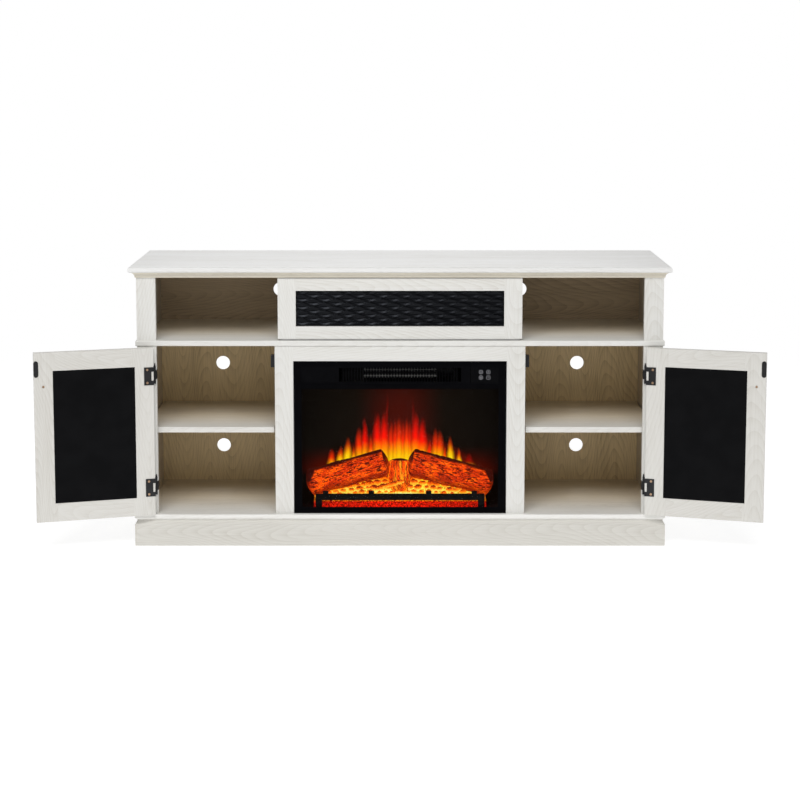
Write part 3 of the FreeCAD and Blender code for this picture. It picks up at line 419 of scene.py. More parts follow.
# Black panels with a wave relief
waves = {
    "lap": 0.008,  # the sheet's part under the frame
    "sheet": 0.006,
    "floor": 0.001,  # the valleys over the sheet
    "height": 0.004,  # the crests over the sheet
    "pitch": 0.0108,
    "period": 0.062,
    "swing": 0.0037,
    "crestCurve": 0.9,
    "perPeriod": 22,  # mesh lines
    "perRow": 10,
    "front": {"specular": 0.14, "rough": 0.21,
              "tones": ((0.0014, 0.0014, 0.0019), (0.0024, 0.0024, 0.0030))},
    "rear": {"specular": 0.05, "rough": 0.5,
             "tones": ((0.0042, 0.0041, 0.0043), (0.0058, 0.0057, 0.0060))},
    "sheen": (0.82, 0.88, 1.0),
    "speckPitch": 1400,
    "speckDepth": 0.00004,
    "cloudPitch": 18,
}


def waveFinish(name, look):
    fixed = {"Specular IOR Level": look["specular"], "Specular Tint": opaque(waves["sheen"])}
    finish = Finish(name, fixed)
    fine = finish.evenCloud(waves["speckPitch"], 2)
    broad = finish.evenCloud(waves["cloudPitch"], 3)
    finish.feed({
        "Base Color": finish.mix(broad.fade(0.3, 0.7), *look["tones"]),
        "Roughness": look["rough"] + broad * 0.06 + fine * 0.04,
        "Normal": finish.bump(fine, waves["speckDepth"], 0.5),
    })
    return finish


def openTurn(side):  # from the shut place to rest, about a door's hinge
    joint = joints[side + "_door_swing"]
    pivot = Matrix.Translation(Vector(joint["pos_m"]))
    angle = math.radians(min(joint["range_deg"])) * joint["axis"][2]
    return pivot @ Matrix.Rotation(-angle, 4, "Z") @ pivot.inverted()


def reliefHeight(x, z, rows, pitch):  # 0 in a valley, 1 on a crest
    row = min(int(z / pitch), rows - 1)
    swing = waves["swing"] * math.sin(2 * math.pi * x / waves["period"]) * (1 if row % 2 else -1)
    crest = pitch * (row + 0.5) + swing
    foot = pitch * (row if z < crest else row + 1)
    away = min(abs(z - crest) / abs(foot - crest), 1)
    return 0.5 + 0.5 * math.cos(math.pi * away ** waves["crestCurve"])


def wavePanel(node, body, turn, front, rear):
    shut = turn.inverted()
    spots = [shut @ corner.co for corner in nodes[node].data.vertices]
    low = Vector(min(spot[axis] for spot in spots) for axis in range(3))
    high = Vector(max(spot[axis] for spot in spots) for axis in range(3))
    inLow = (low.x + waves["lap"], low.z + waves["lap"])
    inHigh = (high.x - waves["lap"], high.z - waves["lap"])
    sheet = high.y - waves["sheet"]
    rows = round((inHigh[1] - inLow[1]) / waves["pitch"])
    pitch = (inHigh[1] - inLow[1]) / rows
    across = round((inHigh[0] - inLow[0]) / waves["period"] * waves["perPeriod"])
    up = rows * waves["perRow"]
    columns = [inLow[0] + (inHigh[0] - inLow[0]) * step / across for step in range(across + 1)]
    levels = [inLow[1] + (inHigh[1] - inLow[1]) * step / up for step in range(up + 1)]
    columns = [low.x, inLow[0], *columns, inHigh[0], high.x]
    levels = [low.z, inLow[1], *levels, inHigh[1], high.z]
    border = 2  # lines of the flat lap on each side
    wide, tall = len(columns), len(levels)
    corners, faces = [], []
    for j, z in enumerate(levels):
        for i, x in enumerate(columns):
            stand = 0
            if border <= i < wide - border and border <= j < tall - border:
                rise = reliefHeight(x - inLow[0], z - inLow[1], rows, pitch)
                stand = waves["floor"] + rise * (waves["height"] - waves["floor"])
            corners.append(turn @ Vector((x, sheet - stand, z)))
    for j in range(tall - 1):
        for i in range(wide - 1):
            first = j * wide + i
            faces.append((first, first + 1, first + wide + 1, first + wide))
    back = len(corners)
    for x, z in ((low.x, low.z), (high.x, low.z), (high.x, high.z), (low.x, high.z)):
        corners.append(turn @ Vector((x, high.y, z)))
    bottom = list(range(wide))
    top = [(tall - 1) * wide + i for i in range(wide)]
    left = [j * wide for j in range(tall)]
    right = [j * wide + wide - 1 for j in range(tall)]
    faces.append((back, back + 1, *reversed(bottom)))
    faces.append((back + 2, back + 3, *top))
    faces.append((back + 3, back, *left))
    faces.append((back + 1, back + 2, *reversed(right)))
    faces.append((back + 3, back + 2, back + 1, back))
    piece = addPiece(node + "_waves", corners, faces, front, body)
    piece.data.materials.append(rear.material)
    for index, polygon in enumerate(piece.data.polygons):
        i, j = index % (wide - 1), index // (wide - 1)
        polygon.use_smooth = border <= i < wide - 1 - border and border <= j < tall - 1 - border
        polygon.material_index = 0 if j < tall - 1 else 1
    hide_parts(node)


waveFront = waveFinish("waveFront", waves["front"])
waveRear = waveFinish("waveRear", waves["rear"])
wavePanel("flap_panel", "media_flap", Matrix.Identity(4), waveFront, waveRear)
for side in ("left", "right"):
    wavePanel(side + "_door_panel", side + "_door", openTurn(side), waveFront, waveRear)
print("wave panels made")


# Glass in front of the fire
glass = {
    "tones": ((0.006, 0.005, 0.004), (0.012, 0.010, 0.008)),
    "rough": (0.04, 0.05),  # on clean glass, and what a smear adds
    "alpha": (0.05, 0.04),
    "specular": 0.06,
    "smearPitch": (6, 6, 14),
    "smearFade": (0.4, 0.75),
}


def glassFinish():
    finish = Finish("fireGlass", {"Specular IOR Level": glass["specular"]})
    across, deep, up = glass["smearPitch"]
    x, y, z = finish.place()
    smear = finish.cloud(x * across, y * deep, z * up, 4).fade(*glass["smearFade"])
    finish.feed({
        "Base Color": finish.mix(smear, *glass["tones"]),
        "Roughness": glass["rough"][0] + smear * glass["rough"][1],
        "Alpha": glass["alpha"][0] + smear * glass["alpha"][1],
    })
    return finish


dress(glassFinish(), "insert_glass")


# Flames on the screen behind the logs
flames = {
    "base": 0.178,
    "tongues": [  # x, tip height, half width, share of red, strength
        (-0.192, 0.250, 0.0085, 0.60, 0.85), (-0.1665, 0.258, 0.0085, 0.10, 1.0),
        (-0.1465, 0.284, 0.010, 0.03, 1.0), (-0.130, 0.262, 0.006, 0.08, 1.0),
        (-0.114, 0.313, 0.010, 0.70, 1.0), (-0.099, 0.342, 0.008, 1.00, 0.9),
        (-0.083, 0.296, 0.009, 0.45, 1.0), (-0.063, 0.357, 0.012, 1.00, 1.0),
        (-0.044, 0.360, 0.012, 1.00, 1.0), (-0.054, 0.326, 0.017, 1.00, 1.0),
        (-0.055, 0.294, 0.013, 0.40, 1.0), (-0.025, 0.334, 0.009, 0.70, 0.9),
        (-0.013, 0.338, 0.008, 0.75, 0.9), (-0.003, 0.343, 0.009, 0.60, 1.0),
        (0.007, 0.334, 0.008, 0.75, 0.9), (0.018, 0.342, 0.009, 0.65, 1.0),
        (0.027, 0.334, 0.008, 0.75, 0.9), (0.001, 0.262, 0.030, 0.10, 1.0),
        (0.043, 0.360, 0.012, 1.00, 1.0), (0.062, 0.342, 0.013, 1.00, 1.0),
        (0.053, 0.322, 0.017, 1.00, 1.0), (0.053, 0.288, 0.013, 0.45, 1.0),
        (0.083, 0.282, 0.009, 0.70, 1.0), (0.099, 0.312, 0.009, 0.60, 0.9),
        (0.110, 0.304, 0.010, 0.50, 1.0), (0.124, 0.262, 0.006, 0.40, 1.0),
        (0.1415, 0.287, 0.008, 0.02, 1.0), (0.165, 0.254, 0.0065, 0.15, 1.0),
        (0.194, 0.240, 0.011, 1.00, 0.28),
    ],
    "wisps": [  # x, tip height, half width
        (-0.071, 0.372, 0.009), (-0.036, 0.425, 0.011), (0.036, 0.408, 0.011), (0.072, 0.350, 0.009),
    ],
    "wispWidth": 0.15,  # least width, in half widths
    "wispRed": 0.45,
    "drift": (30, 22, 0.012),  # cells a metre across and up, and metres of sway
    "flick": (85, 30, 0.004),
    "spread": 2.5,
    "taper": 0.75,
    "tipWidth": 0.10,
    "tipFade": 0.52,
    "boost": 1.1,
    "ripe": (0.15, 0.28),  # height shares below which a tongue turns yellow
    "ripeSpan": 0.42,
    "redHue": (0.004, 0.07),
    "yellowHue": 0.64,
    "fill": {"top": 0.335, "fall": 0.52, "span": 0.115, "half": 0.225, "soft": 0.25,
             "red": 0.5, "green": 0.045},  # the glow between the tongues
    "foot": {"top": 0.255, "span": 0.085, "power": 1.5, "half": 0.30, "soft": 0.35,
             "red": 0.125, "green": 0.004, "rise": (0.168, 0.192)},
    "haze": {"half": 0.13, "soft": 1, "level": 0.31, "span": 0.2, "fade": 0.8,
             "glow": (0.050, 0.0010, 0.0002)},
    "dusk": {"half": 0.29, "soft": 0.8, "glow": (0.0032, 0.0014, 0.0003)},
    "dark": (0.0010, 0.0004, 0.0001),
    "gain": 1.08,
    "blue": 0.03,
    "screen": ((0.002, 0.0015, 0.001), (0.004, 0.003, 0.002)),
}


def flameFinish():
    finish = Finish("flameScreen", {"Specular IOR Level": 0.05, "Roughness": 0.6, "Emission Strength": 1.0})
    x, _, z = finish.place()
    fill, foot, haze, dusk = (flames[part] for part in ("fill", "foot", "haze", "dusk"))

    def band(look):  # 1 in the middle of the fire, 0 from the half width on
        return (1 - abs(x) / look["half"]).atLeast(0).fade(0, look["soft"])

    def reachOf(tip):  # 1 at the base, 0 at the tip
        return (1 - (z - flames["base"]) / (tip - flames["base"])).atLeast(0)

    across, up, driftSway = flames["drift"]
    drift = finish.cloud(x * across, 0.0, z * up, 2) - 0.5
    across, up, flickSway = flames["flick"]
    flick = finish.cloud(x * across, 4.0, z * up, 2) - 0.5
    spot = x + drift * driftSway + flick * flickSway
    filled = ((fill["top"] - abs(x) * fill["fall"] - z) / fill["span"]).atLeast(0).atMost(1) * band(fill)
    rising = ((foot["top"] - z) / foot["span"]).atLeast(0).atMost(1) ** foot["power"]
    # painted shadow: the glow at the screen's foot fades out below the tops of the logs
    rising = rising * band(foot) * z.fade(*foot["rise"])
    red = (filled * fill["red"]).atLeast(rising * foot["red"])
    green = filled * filled * fill["green"] + rising * foot["green"]
    for middle, tip, half, redShare, strength in flames["tongues"]:
        reach = reachOf(tip).atMost(1)
        width = half * flames["spread"] * (reach ** flames["taper"] + flames["tipWidth"])
        body = (1 - abs(spot - middle) / width).atLeast(0).fade(0, 1)
        glow = (body * reach.fade(0, flames["tipFade"]) * strength * flames["boost"]).atMost(1)
        ripe = flames["ripe"][0] + flames["ripe"][1] * redShare ** 0.5
        yellow = reach.fade(ripe, ripe + flames["ripeSpan"]) * flames["yellowHue"] * (0.5 + body * 0.5)
        red = red.atLeast(glow)
        green = green.atLeast(glow * (flames["redHue"][0] + flames["redHue"][1] * (1 - redShare) + yellow))
    for middle, tip, half in flames["wisps"]:
        reach = reachOf(tip)
        body = (1 - abs(spot - middle) / (half * (reach + flames["wispWidth"]))).atLeast(0)
        red = red.atLeast(body * reach.fade(0, 0.8) * flames["wispRed"])
    mist = band(haze) * (1 - abs(z - haze["level"]) / haze["span"]).atLeast(0).fade(0, haze["fade"])
    gloom = band(dusk)
    light = (red * flames["gain"], green * flames["gain"], green ** 4 * flames["blue"])
    layers = zip(flames["dark"], dusk["glow"], haze["glow"], light)
    glows = [dark + gloom * far + mist * near + lit for dark, far, near, lit in layers]
    finish.feed({
        "Base Color": finish.mix(drift + 0.5, *flames["screen"]),
        "Emission Color": finish.colour(*glows),
    })
    return finish


dress(flameFinish(), "flame_screen")
print("glass and flames painted")


# Resin logs, lit from inside
logs = {
    "log_left": {"axis": ((-0.2470, -0.1220, 0.1595), (-0.152, -0.1220, 0.1872), (-0.0440, -0.1220, 0.2172)),
                 "radii": (0.0385, 0.0395, 0.0395), "dome": 0.3, "seed": 3.1, "knot": (0.62, 1.25)},
    "log_right": {"axis": ((0.2460, -0.1220, 0.1595), (0.1491, -0.1220, 0.1872), (0.0340, -0.1220, 0.2170)),
                  "radii": (0.0385, 0.0395, 0.0395), "dome": 0.3, "seed": 8.7, "knot": (0.7, 1.5)},
    "log_centre": {"axis": ((0.001, -0.1320, 0.138), (-0.001, -0.1235, 0.179), (-0.001, -0.1165, 0.2180)),
                   "radii": (0.029, 0.034, 0.034), "dome": 0.26, "seed": 5.3, "knot": None},
}
bark = {
    "around": 84,
    "along": 0.0016,  # metres from ring to ring
    "inset": 0.002,
    "lump": 0.0030,
    "lumpPitch": (22, 1.6),
    "rough": 0.0010,
    "roughPitch": (300, 400, 12),
    "crack": 0.0026,
    "stubCrack": 0.6,  # share of it on the upright log
    "wideCracks": (42, 130, 0.13),  # cells a metre along and round, and the width
    "fineCracks": (95, 300, 0.16),
    "fineShare": 0.7,
    "knotRing": (0.007, 0.003),  # metres from the knot's middle, and the width
    "knotEye": (0.0, 0.0045),
    "knotGroove": (0.012, 0.0018),
    "knotRise": 0.0015,
    "streakPitch": (25, 6.5),
    "capRings": 9,
    "capScale": (0.04, 0.93),
    "capRough": 0.0012,
    "capWaves": 40,
    "lip": 0.985,  # scale of the ring between bark and cut end
    "barkSpan": (0.004, 0.992),
}
resin = {
    "tones": ((0.03, 0.008, 0.003), (0.0045, 0.0022, 0.0026)),  # where the resin glows, and where cracks or painted shade darken it
    "finePitch": (170, 420),  # cells a metre along and round
    "broadPitch": (26, 48),
    "groovePitch": (42, 290),
    "grooveFade": (0.53, 0.585),
    "endShadeReach": 0.11,  # share of the length painted in shade at the outer end
    "endShadeShare": 0.6,
    "rim": (0.80, 0.93),
    "stubTopShade": (1.15, 1.40),
    "darkness": {"crack": 0.93, "groove": 0.9, "rim": 0.965, "under": 0.6},
    "capShade": (0.5, 0.46),
    "dark": (0.012, 0.0016, 0.0010),
    "glow": (1.1, 0.048, 0.0008),
    "emberGlow": (0.45, 0.16),
    "yellowGlow": (0.2, 0.4, 0.012),
    "depth": 0.0008,
}


def logFinish(name, stub):
    finish = Finish(name, {"Specular IOR Level": 0.05, "Emission Strength": 1.0})
    crack, lift, along, turn, top = (finish.kept(mark) for mark in ("crack", "lift", "along", "turn", "top"))

    def streaked(pitch, seed, *detail):
        return finish.cloud(along * pitch[0], turn * pitch[1], seed, *detail)

    fine = streaked(resin["finePitch"], 0.0, 4, 0.65)
    broad = streaked(resin["broadPitch"], 3.0, 3)
    groove = streaked(resin["groovePitch"], 7.0, 3).fade(*resin["grooveFade"])
    # Painted shade: the tops of the logs and their outer ends glow less; on the upright stub, the middle of its
    # top cut end does
    if stub:
        rim = top.fade(*resin["stubTopShade"])
        yellow = finish.kept("streak")
    else:
        endShade = (1 - top / resin["endShadeReach"]).atLeast(0)
        rim = (lift + endShade * resin["endShadeShare"]).fade(*resin["rim"])
        yellow = fine.fade(0.60, 0.78) * 0.4
    # Painted shadow: the underside, over the embers, glows less
    under = 1 - lift.fade(-0.75, -0.1)
    share = resin["darkness"]
    dark = (crack.fade(0.3, 0.85) * share["crack"]).atLeast(groove * share["groove"])
    dark = dark.atLeast(rim * share["rim"]).atLeast(under * share["under"])
    # Painted shade on the cut ends, more towards their tops
    if not stub:
        least, more = resin["capShade"]
        dark = dark.atLeast(finish.kept("end") * (least + more * lift.fade(-0.1, 0.5)))
    ember = broad.fade(0.36, 0.66) * 0.6 + fine.fade(0.42, 0.72) * 0.6
    lit = (1 - dark) * (0.5 + 0.5 * fine.fade(0.3, 0.6)) * (0.72 + 0.4 * broad.fade(0.35, 0.65))
    base, glow, hot, pale = resin["dark"], resin["glow"], resin["emberGlow"], resin["yellowGlow"]
    finish.feed({
        "Base Color": finish.mix(dark, *resin["tones"]),
        "Roughness": 0.75 + fine * 0.2,
        "Emission Color": finish.colour(
            base[0] + lit * (glow[0] + ember * hot[0] + yellow * pale[0]),
            base[1] + lit * (glow[1] + ember * ember * hot[1] + yellow * pale[1]),
            base[2] + lit * (glow[2] + yellow * pale[2]),
        ),
        "Normal": finish.bump(fine, resin["depth"], 0.6),
    })
    return finish


def barkCrack(along, cosine, sine, seed):  # 1 in a crack, 0 on the ridges between
    pitch, turns, width = bark["wideCracks"]
    wide = abs(noise.noise(Vector((along * pitch + seed, cosine * turns, sine * turns)))) / width
    pitch, turns, width = bark["fineCracks"]
    fine = abs(noise.noise(Vector((along * pitch - seed, cosine * turns, sine * turns + seed)))) / width
    return max(max(0.0, 1 - wide), bark["fineShare"] * max(0.0, 1 - fine))


def bell(off, look):  # 1 at its middle, falling away over its width
    middle, width = look
    return math.exp(-((off - middle) / width) ** 2)


def makeLog(node):
    look = logs[node]
    seed = look["seed"]
    points = [Vector(point) for point in look["axis"]]
    length = (points[1] - points[0]).length + (points[2] - points[1]).length
    steps = round(length / bark["along"])
    around = bark["around"]
    stub = look["knot"] is None
    corners, faces = [], []
    marks = {"crack": [], "lift": [], "end": [], "streak": [], "along": [], "turn": [], "top": []}

    def ring(share, scale, cap):
        middle = points[0] * (1 - share) * (1 - 2 * share) + points[1] * 4 * share * (1 - share)
        middle = middle + points[2] * share * (2 * share - 1)
        ahead = points[0] * (4 * share - 3) + points[1] * (4 - 8 * share) + points[2] * (4 * share - 1)
        ahead.normalize()
        side = Vector((0, 1, 0)).cross(ahead) if not stub else Vector((1, 0, 0))
        side = (side - ahead * side.dot(ahead)).normalized()
        other = ahead.cross(side)
        first, centre, last = look["radii"]
        radius = first + (centre - first) * min(2 * share, 1) + (last - centre) * max(2 * share - 1, 0)
        along = share * length
        depth = bark["stubCrack"] if stub else 1.0
        bulge = math.copysign(look["dome"], share - 0.5) * radius * (1 - scale ** 2)
        for step in range(around):
            angle = 2 * math.pi * step / around
            cosine, sine = math.cos(angle), math.sin(angle)
            outward = side * cosine + other * sine
            crack = barkCrack(along, cosine * radius, sine * radius, seed) * depth
            pitch, turns = bark["lumpPitch"]
            lump = noise.noise(Vector((along * pitch, cosine * turns + seed, sine * turns)))
            pitch, turns, through = bark["roughPitch"]
            rough = noise.fractal(Vector((along * pitch, cosine * radius * turns, sine * through)), 0.8, 2.1, 3)
            knot = 0.0
            if look["knot"]:
                off = math.hypot((share - look["knot"][0]) * length, (angle - look["knot"][1]) * radius)
                knot = bell(off, bark["knotRing"])
                crack = max(crack * (1 - knot), bell(off, bark["knotEye"]), bell(off, bark["knotGroove"]))
            reach = (radius - bark["inset"] + lump * bark["lump"] - crack * bark["crack"]
                     + rough * bark["rough"] + knot * bark["knotRise"])
            pitch, turns = bark["streakPitch"]
            streak = max(0.0, noise.noise(Vector((along * pitch, angle * turns, seed)))) * 2
            corners.append(middle + outward * reach * scale + ahead * (bulge + cap * bark["capRough"] * rough))
            marks["crack"].append(0.5 + 0.5 * math.sin(scale * bark["capWaves"] + rough) if cap else crack)
            marks["lift"].append(outward.z * scale)
            marks["end"].append(float(cap))
            marks["streak"].append(min(streak, 1.0))
            marks["along"].append(along + seed)
            marks["turn"].append(angle * radius)
            marks["top"].append(share if share < 1 else 2 - scale)

    inner, span = bark["capScale"]
    count = bark["capRings"]
    start, run = bark["barkSpan"]
    rings = [(0.0, inner + span * step / count, 1) for step in range(count)]
    rings.append((0.0, bark["lip"], 0))
    rings += [(start + run * step / steps, 1.0, 0) for step in range(steps + 1)]
    rings.append((1.0, bark["lip"], 0))
    rings += [(1.0, inner + span * (1 - (step + 1) / count), 1) for step in range(count)]
    for share, scale, cap in rings:
        ring(share, scale, cap)
    for row in range(len(rings) - 1):
        low, high = row * around, (row + 1) * around
        for step in range(around):
            after = (step + 1) % around
            faces.append((low + step, low + after, high + after, high + step))
    faces.append(tuple(reversed(range(around))))
    faces.append(tuple((len(rings) - 1) * around + step for step in range(around)))
    piece = addPiece(node + "_bark", corners, faces, logFinish(node + "Resin", stub), "cabinet")
    for name, values in marks.items():
        keep(piece, name, values)
    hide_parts(node)


for node in logs:
    makeLog(node)
print("logs made")


# Ember bed: a glowing mound with coals on it
embers = {
    "columns": 150,
    "rows": 34,
    "foot": 0.036,  # height of the upright front
    "footDrop": 0.25,  # share that it loses at the ends
    "endTop": 0.030,
    "crownTop": 0.086,
    "crownCurve": 0.8,
    "backCurve": 0.9,
    "leastRise": 0.004,
    "bumps": (90, 0.0016),  # cells a metre, and their height
    "tones": ((0.02, 0.004, 0.002), (0.06, 0.02, 0.006)),
    "seamPitch": 95,
    "fleckPitch": 420,
    "coreHalf": 0.24,
    "frontGlow": (0.03, 0.05),  # height where the bright front ends, and over which span
    "ledge": (0.030, 0.036),  # heights where the dull foot ends, and where its bright line starts
    "line": (0.024, 0.029),
    "hot": (1.6, 1.15, 0.3),
    "dull": (1.4, 0.014, 0.002),
    "lineGreen": 0.5,
}
coals = {
    "seed": 41,
    "pitch": (0.0205, 0.0135),
    "size": (0.0062, 0.0135),
    "endLoss": 0.35,  # share of the size lost at the ends
    "spare": (0.02, 0.012),
    "start": (0.012, 0.009),  # from the bed's left and front sides
    "stop": (0.012, 0.006),  # from its right and rear sides
    "shake": (0.004, 0.002),
    "root": ((-0.066, -0.150, 0.150), (0.004, -0.158, 0.172)),  # lumps in a row at the front of the heap
    "rootSize": 0.0072,
    "rootLumps": 12,
    "around": 14,
    "rings": 8,
    "turn": 6.28,
    "tilt": 0.5,
    "stretch": ((0.9, 1.5), (0.75, 1.0), (0.65, 0.95)),
    "chips": ((1.6, 0.32), (4, 0.12)),  # cells to a lump, and their height
    "seeds": 50,
    "tones": ((0.02, 0.005, 0.002), (0.06, 0.02, 0.008)),
    "fleckPitch": 320,
    "coreHalf": 0.25,
    "nearGlow": (0.040, 0.022),  # height where the brighter front coals end, and over which span
    "warm": {"all": 1.38, "rise": 1.05, "heat": 1.1, "fleck": 1.5, "near": 0.85},
    "warmRange": (0.08, 1.7),
    "dark": (0.10, 0.006, 0.001),
    "glow": (1.1, 0.66, 0.06),
    "depth": 0.0006,
}


def moundHeight(across, back):  # both from 0 to 1, across from the middle to an end
    climb = embers["crownTop"] - embers["endTop"]
    crown = embers["endTop"] + climb * math.cos(across * math.pi / 2) ** embers["crownCurve"]
    foot = embers["foot"] * (1 - embers["footDrop"] * across ** 4)
    rise = max(crown, foot + embers["leastRise"]) - foot
    return foot + rise * math.sin(back * math.pi / 2) ** embers["backCurve"]


def emberFinish():
    finish = Finish("emberGlow", {"Roughness": 0.85, "Specular IOR Level": 0.05, "Emission Strength": 1.0})
    x, y, z = finish.place()
    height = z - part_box("ember_bed")[0].z
    core = (1 - abs(x) / embers["coreHalf"]).atLeast(0) ** 0.6
    end, span = embers["frontGlow"]
    front = (1 - (height - end) / span).atLeast(0).atMost(1)
    pitch = embers["seamPitch"]
    seam = finish.edges(x * pitch, y * pitch, z * pitch).fade(0.02, 0.22)
    fleck = finish.evenCloud(embers["fleckPitch"], 3).fade(0.42, 0.6)
    above = height.fade(*embers["ledge"])
    bright = above * (0.45 + 0.55 * core) * (1.05 - seam * 0.5) * (0.72 + 0.48 * front)
    line = height.fade(*embers["line"]) * fleck
    faint = (1 - above) * (0.10 + 0.90 * fleck) * (0.45 + 0.55 * core)
    hot, dull = embers["hot"], embers["dull"]
    finish.feed({
        "Base Color": finish.mix(fleck, *embers["tones"]),
        "Emission Color": finish.colour(
            bright * hot[0] + faint * dull[0],
            bright ** 1.2 * hot[1] + faint * (dull[1] + line * embers["lineGreen"]),
            bright ** 3 * hot[2] * front + faint * dull[2],
        ),
    })
    return finish


def coalFinish():
    finish = Finish("coalGlow", {"Roughness": 0.9, "Specular IOR Level": 0.05, "Emission Strength": 1.0})
    x, _, z = finish.place()
    rise, heat = finish.kept("rise"), finish.kept("heat")
    fleck = finish.evenCloud(coals["fleckPitch"], 4, 0.6)
    core = (1 - abs(x) / coals["coreHalf"]).atLeast(0) ** 0.5
    end, span = coals["nearGlow"]
    near = (1 - (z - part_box("ember_bed")[0].z - end) / span).atLeast(0).atMost(1) * core
    share = coals["warm"]
    # Painted shade: the tops of the lumps glow less than their lower parts, as if lit from below
    warm = share["all"] - rise * share["rise"] + (heat - 0.5) * share["heat"]
    warm = warm + (fleck - 0.5) * share["fleck"] + near * share["near"]
    least, most = coals["warmRange"]
    warm = (warm * (0.7 + 0.35 * core)).atLeast(least).atMost(most)
    dark, glow = coals["dark"], coals["glow"]
    finish.feed({
        "Base Color": finish.mix(fleck, *coals["tones"]),
        "Emission Color": finish.colour(
            dark[0] + warm.fade(0, 0.5) * glow[0],
            dark[1] + warm ** 1.8 * glow[1],
            dark[2] + warm ** 5 * glow[2],
        ),
        "Normal": finish.bump(fleck, coals["depth"], 0.6),
    })
    return finish


def makeMound():
    low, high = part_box("ember_bed")
    columns, rows = embers["columns"], embers["rows"]
    pitch, bump = embers["bumps"]
    corners, faces = [], []
    for i in range(columns + 1):
        x = low.x + (high.x - low.x) * i / columns
        across = abs(2 * i / columns - 1)
        line = [Vector((x, low.y, low.z)), Vector((x, low.y, low.z + embers["foot"] * 0.5))]
        for j in range(rows + 1):
            y = low.y + (high.y - low.y) * j / rows
            lift = moundHeight(across, j / rows) + bump * noise.noise(Vector((x * pitch, y * pitch, 1.7)))
            line.append(Vector((x, y, low.z + lift)))
        line.append(Vector((x, high.y, low.z)))
        corners += line
    tall = rows + 4
    for i in range(columns):
        for j in range(tall):
            after = (j + 1) % tall
            faces.append((i * tall + j, (i + 1) * tall + j, (i + 1) * tall + after, i * tall + after))
    faces.append(tuple(range(tall)))
    faces.append(tuple(reversed(range(columns * tall, (columns + 1) * tall))))
    mound = addPiece("ember_mound", corners, faces, emberFinish(), "cabinet")
    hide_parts("ember_bed")


def makeCoals():
    low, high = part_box("ember_bed")
    wide, deep = high.x - low.x, high.y - low.y
    dice = random.Random(coals["seed"])
    heap = {"corners": [], "faces": [], "rise": [], "heat": []}
    stepX, stepY = coals["pitch"]
    spareX, spareY = coals["spare"]
    shakeX, shakeY = coals["shake"]
    for j in range(int((deep - spareY) / stepY) + 1):
        for i in range(int((wide - spareX) / stepX) + 1):
            x = low.x + coals["start"][0] + stepX * (i + 0.5 * (j % 2)) + dice.uniform(-shakeX, shakeX)
            y = low.y + coals["start"][1] + stepY * j + dice.uniform(-shakeY, shakeY)
            if x > high.x - coals["stop"][0] or y > high.y - coals["stop"][1]:
                continue
            across = abs(x) / (wide / 2)
            ground = low.z + moundHeight(across, (y - low.y) / deep)
            size = dice.uniform(*coals["size"]) * (1 - coals["endLoss"] * across ** 3)
            addCoal(heap, Vector((x, y, ground)), size, dice)
    first, last = (Vector(end) for end in coals["root"])
    for step in range(coals["rootLumps"]):
        addCoal(heap, first.lerp(last, step / (coals["rootLumps"] - 1)), coals["rootSize"], dice)
    piece = addPiece("ember_coals", heap["corners"], heap["faces"], coalFinish(), "cabinet")
    keep(piece, "rise", heap["rise"])
    keep(piece, "heat", heap["heat"])


def addCoal(heap, middle, size, dice):  # a rough lump, built of rings
    around, rings = coals["around"], coals["rings"]
    corners, faces = heap["corners"], heap["faces"]
    turn = Matrix.Rotation(dice.uniform(0, coals["turn"]), 3, "Z")
    turn = turn @ Matrix.Rotation(dice.uniform(-coals["tilt"], coals["tilt"]), 3, "X")
    stretch = Vector([dice.uniform(*limits) for limits in coals["stretch"]])
    seed = dice.uniform(0, coals["seeds"])
    heat = dice.random()
    start = len(corners)
    spots = [Vector((0, 0, -1))]
    for row in range(1, rings):
        tilt = math.pi * row / rings
        for step in range(around):
            angle = 2 * math.pi * step / around
            flat = math.sin(tilt)
            spots.append(Vector((flat * math.cos(angle), flat * math.sin(angle), -math.cos(tilt))))
    spots.append(Vector((0, 0, 1)))
    (broad, broadHeight), (fine, fineHeight) = coals["chips"]
    for spot in spots:
        chip = 1 + broadHeight * noise.noise(spot * broad + Vector((seed, 0, 0)))
        chip += fineHeight * noise.noise(spot * fine + Vector((0, seed, 0)))
        moved = turn @ Vector((spot.x * stretch.x, spot.y * stretch.y, spot.z * stretch.z))
        corners.append(middle + moved * size * chip)
        # height in the lump, used for the painted shade on the coals' tops
        heap["rise"].append(max(0.0, min(1.0, moved.z * 0.9 + 0.1)))
        heap["heat"].append(heat)
    for step in range(around):
        after = (step + 1) % around
        faces.append((start, start + 1 + after, start + 1 + step))
        for row in range(rings - 2):
            here = start + 1 + row * around
            faces.append((here + step, here + after, here + around + after, here + around + step))
        last = start + 1 + (rings - 2) * around
        faces.append((last + step, last + after, len(corners) - 1))


makeMound()
makeCoals()
print("embers made")


# Signs on the four buttons: ring outlines and strokes, as thin raised strips
signs = {
    "line": 0.0008,
    "rise": 0.0002,
    "ring": 0.0052,
    "ringSteps": 40,
    "tones": ((0.26, 0.26, 0.28), (0.38, 0.38, 0.40)),
    "speckPitch": 900,
    "strokes": {  # each stroke is a run of points in shares of the ring
        "power": [[(0.5 * math.sin(a), 0.5 * math.cos(a)) for a in [0.75 + 0.4 * k for k in range(13)]],
                  [(0, 0.15), (0, 0.66)]],
        "flame": [[(0, 0.62), (0.3, 0.2), (0.38, -0.15), (0.2, -0.48), (-0.2, -0.48),
                   (-0.38, -0.15), (-0.18, 0.1), (-0.05, 0.3), (0, 0.62)]],
        "heat": [[(dx + 0.1 * math.sin(k * 1.1), -0.5 + 0.1 * k) for k in range(11)]
                 for dx in (-0.35, 0, 0.35)],
        "timer": [[(0, 0.55), (0, 0), (0.36, -0.2)]],
    },
}


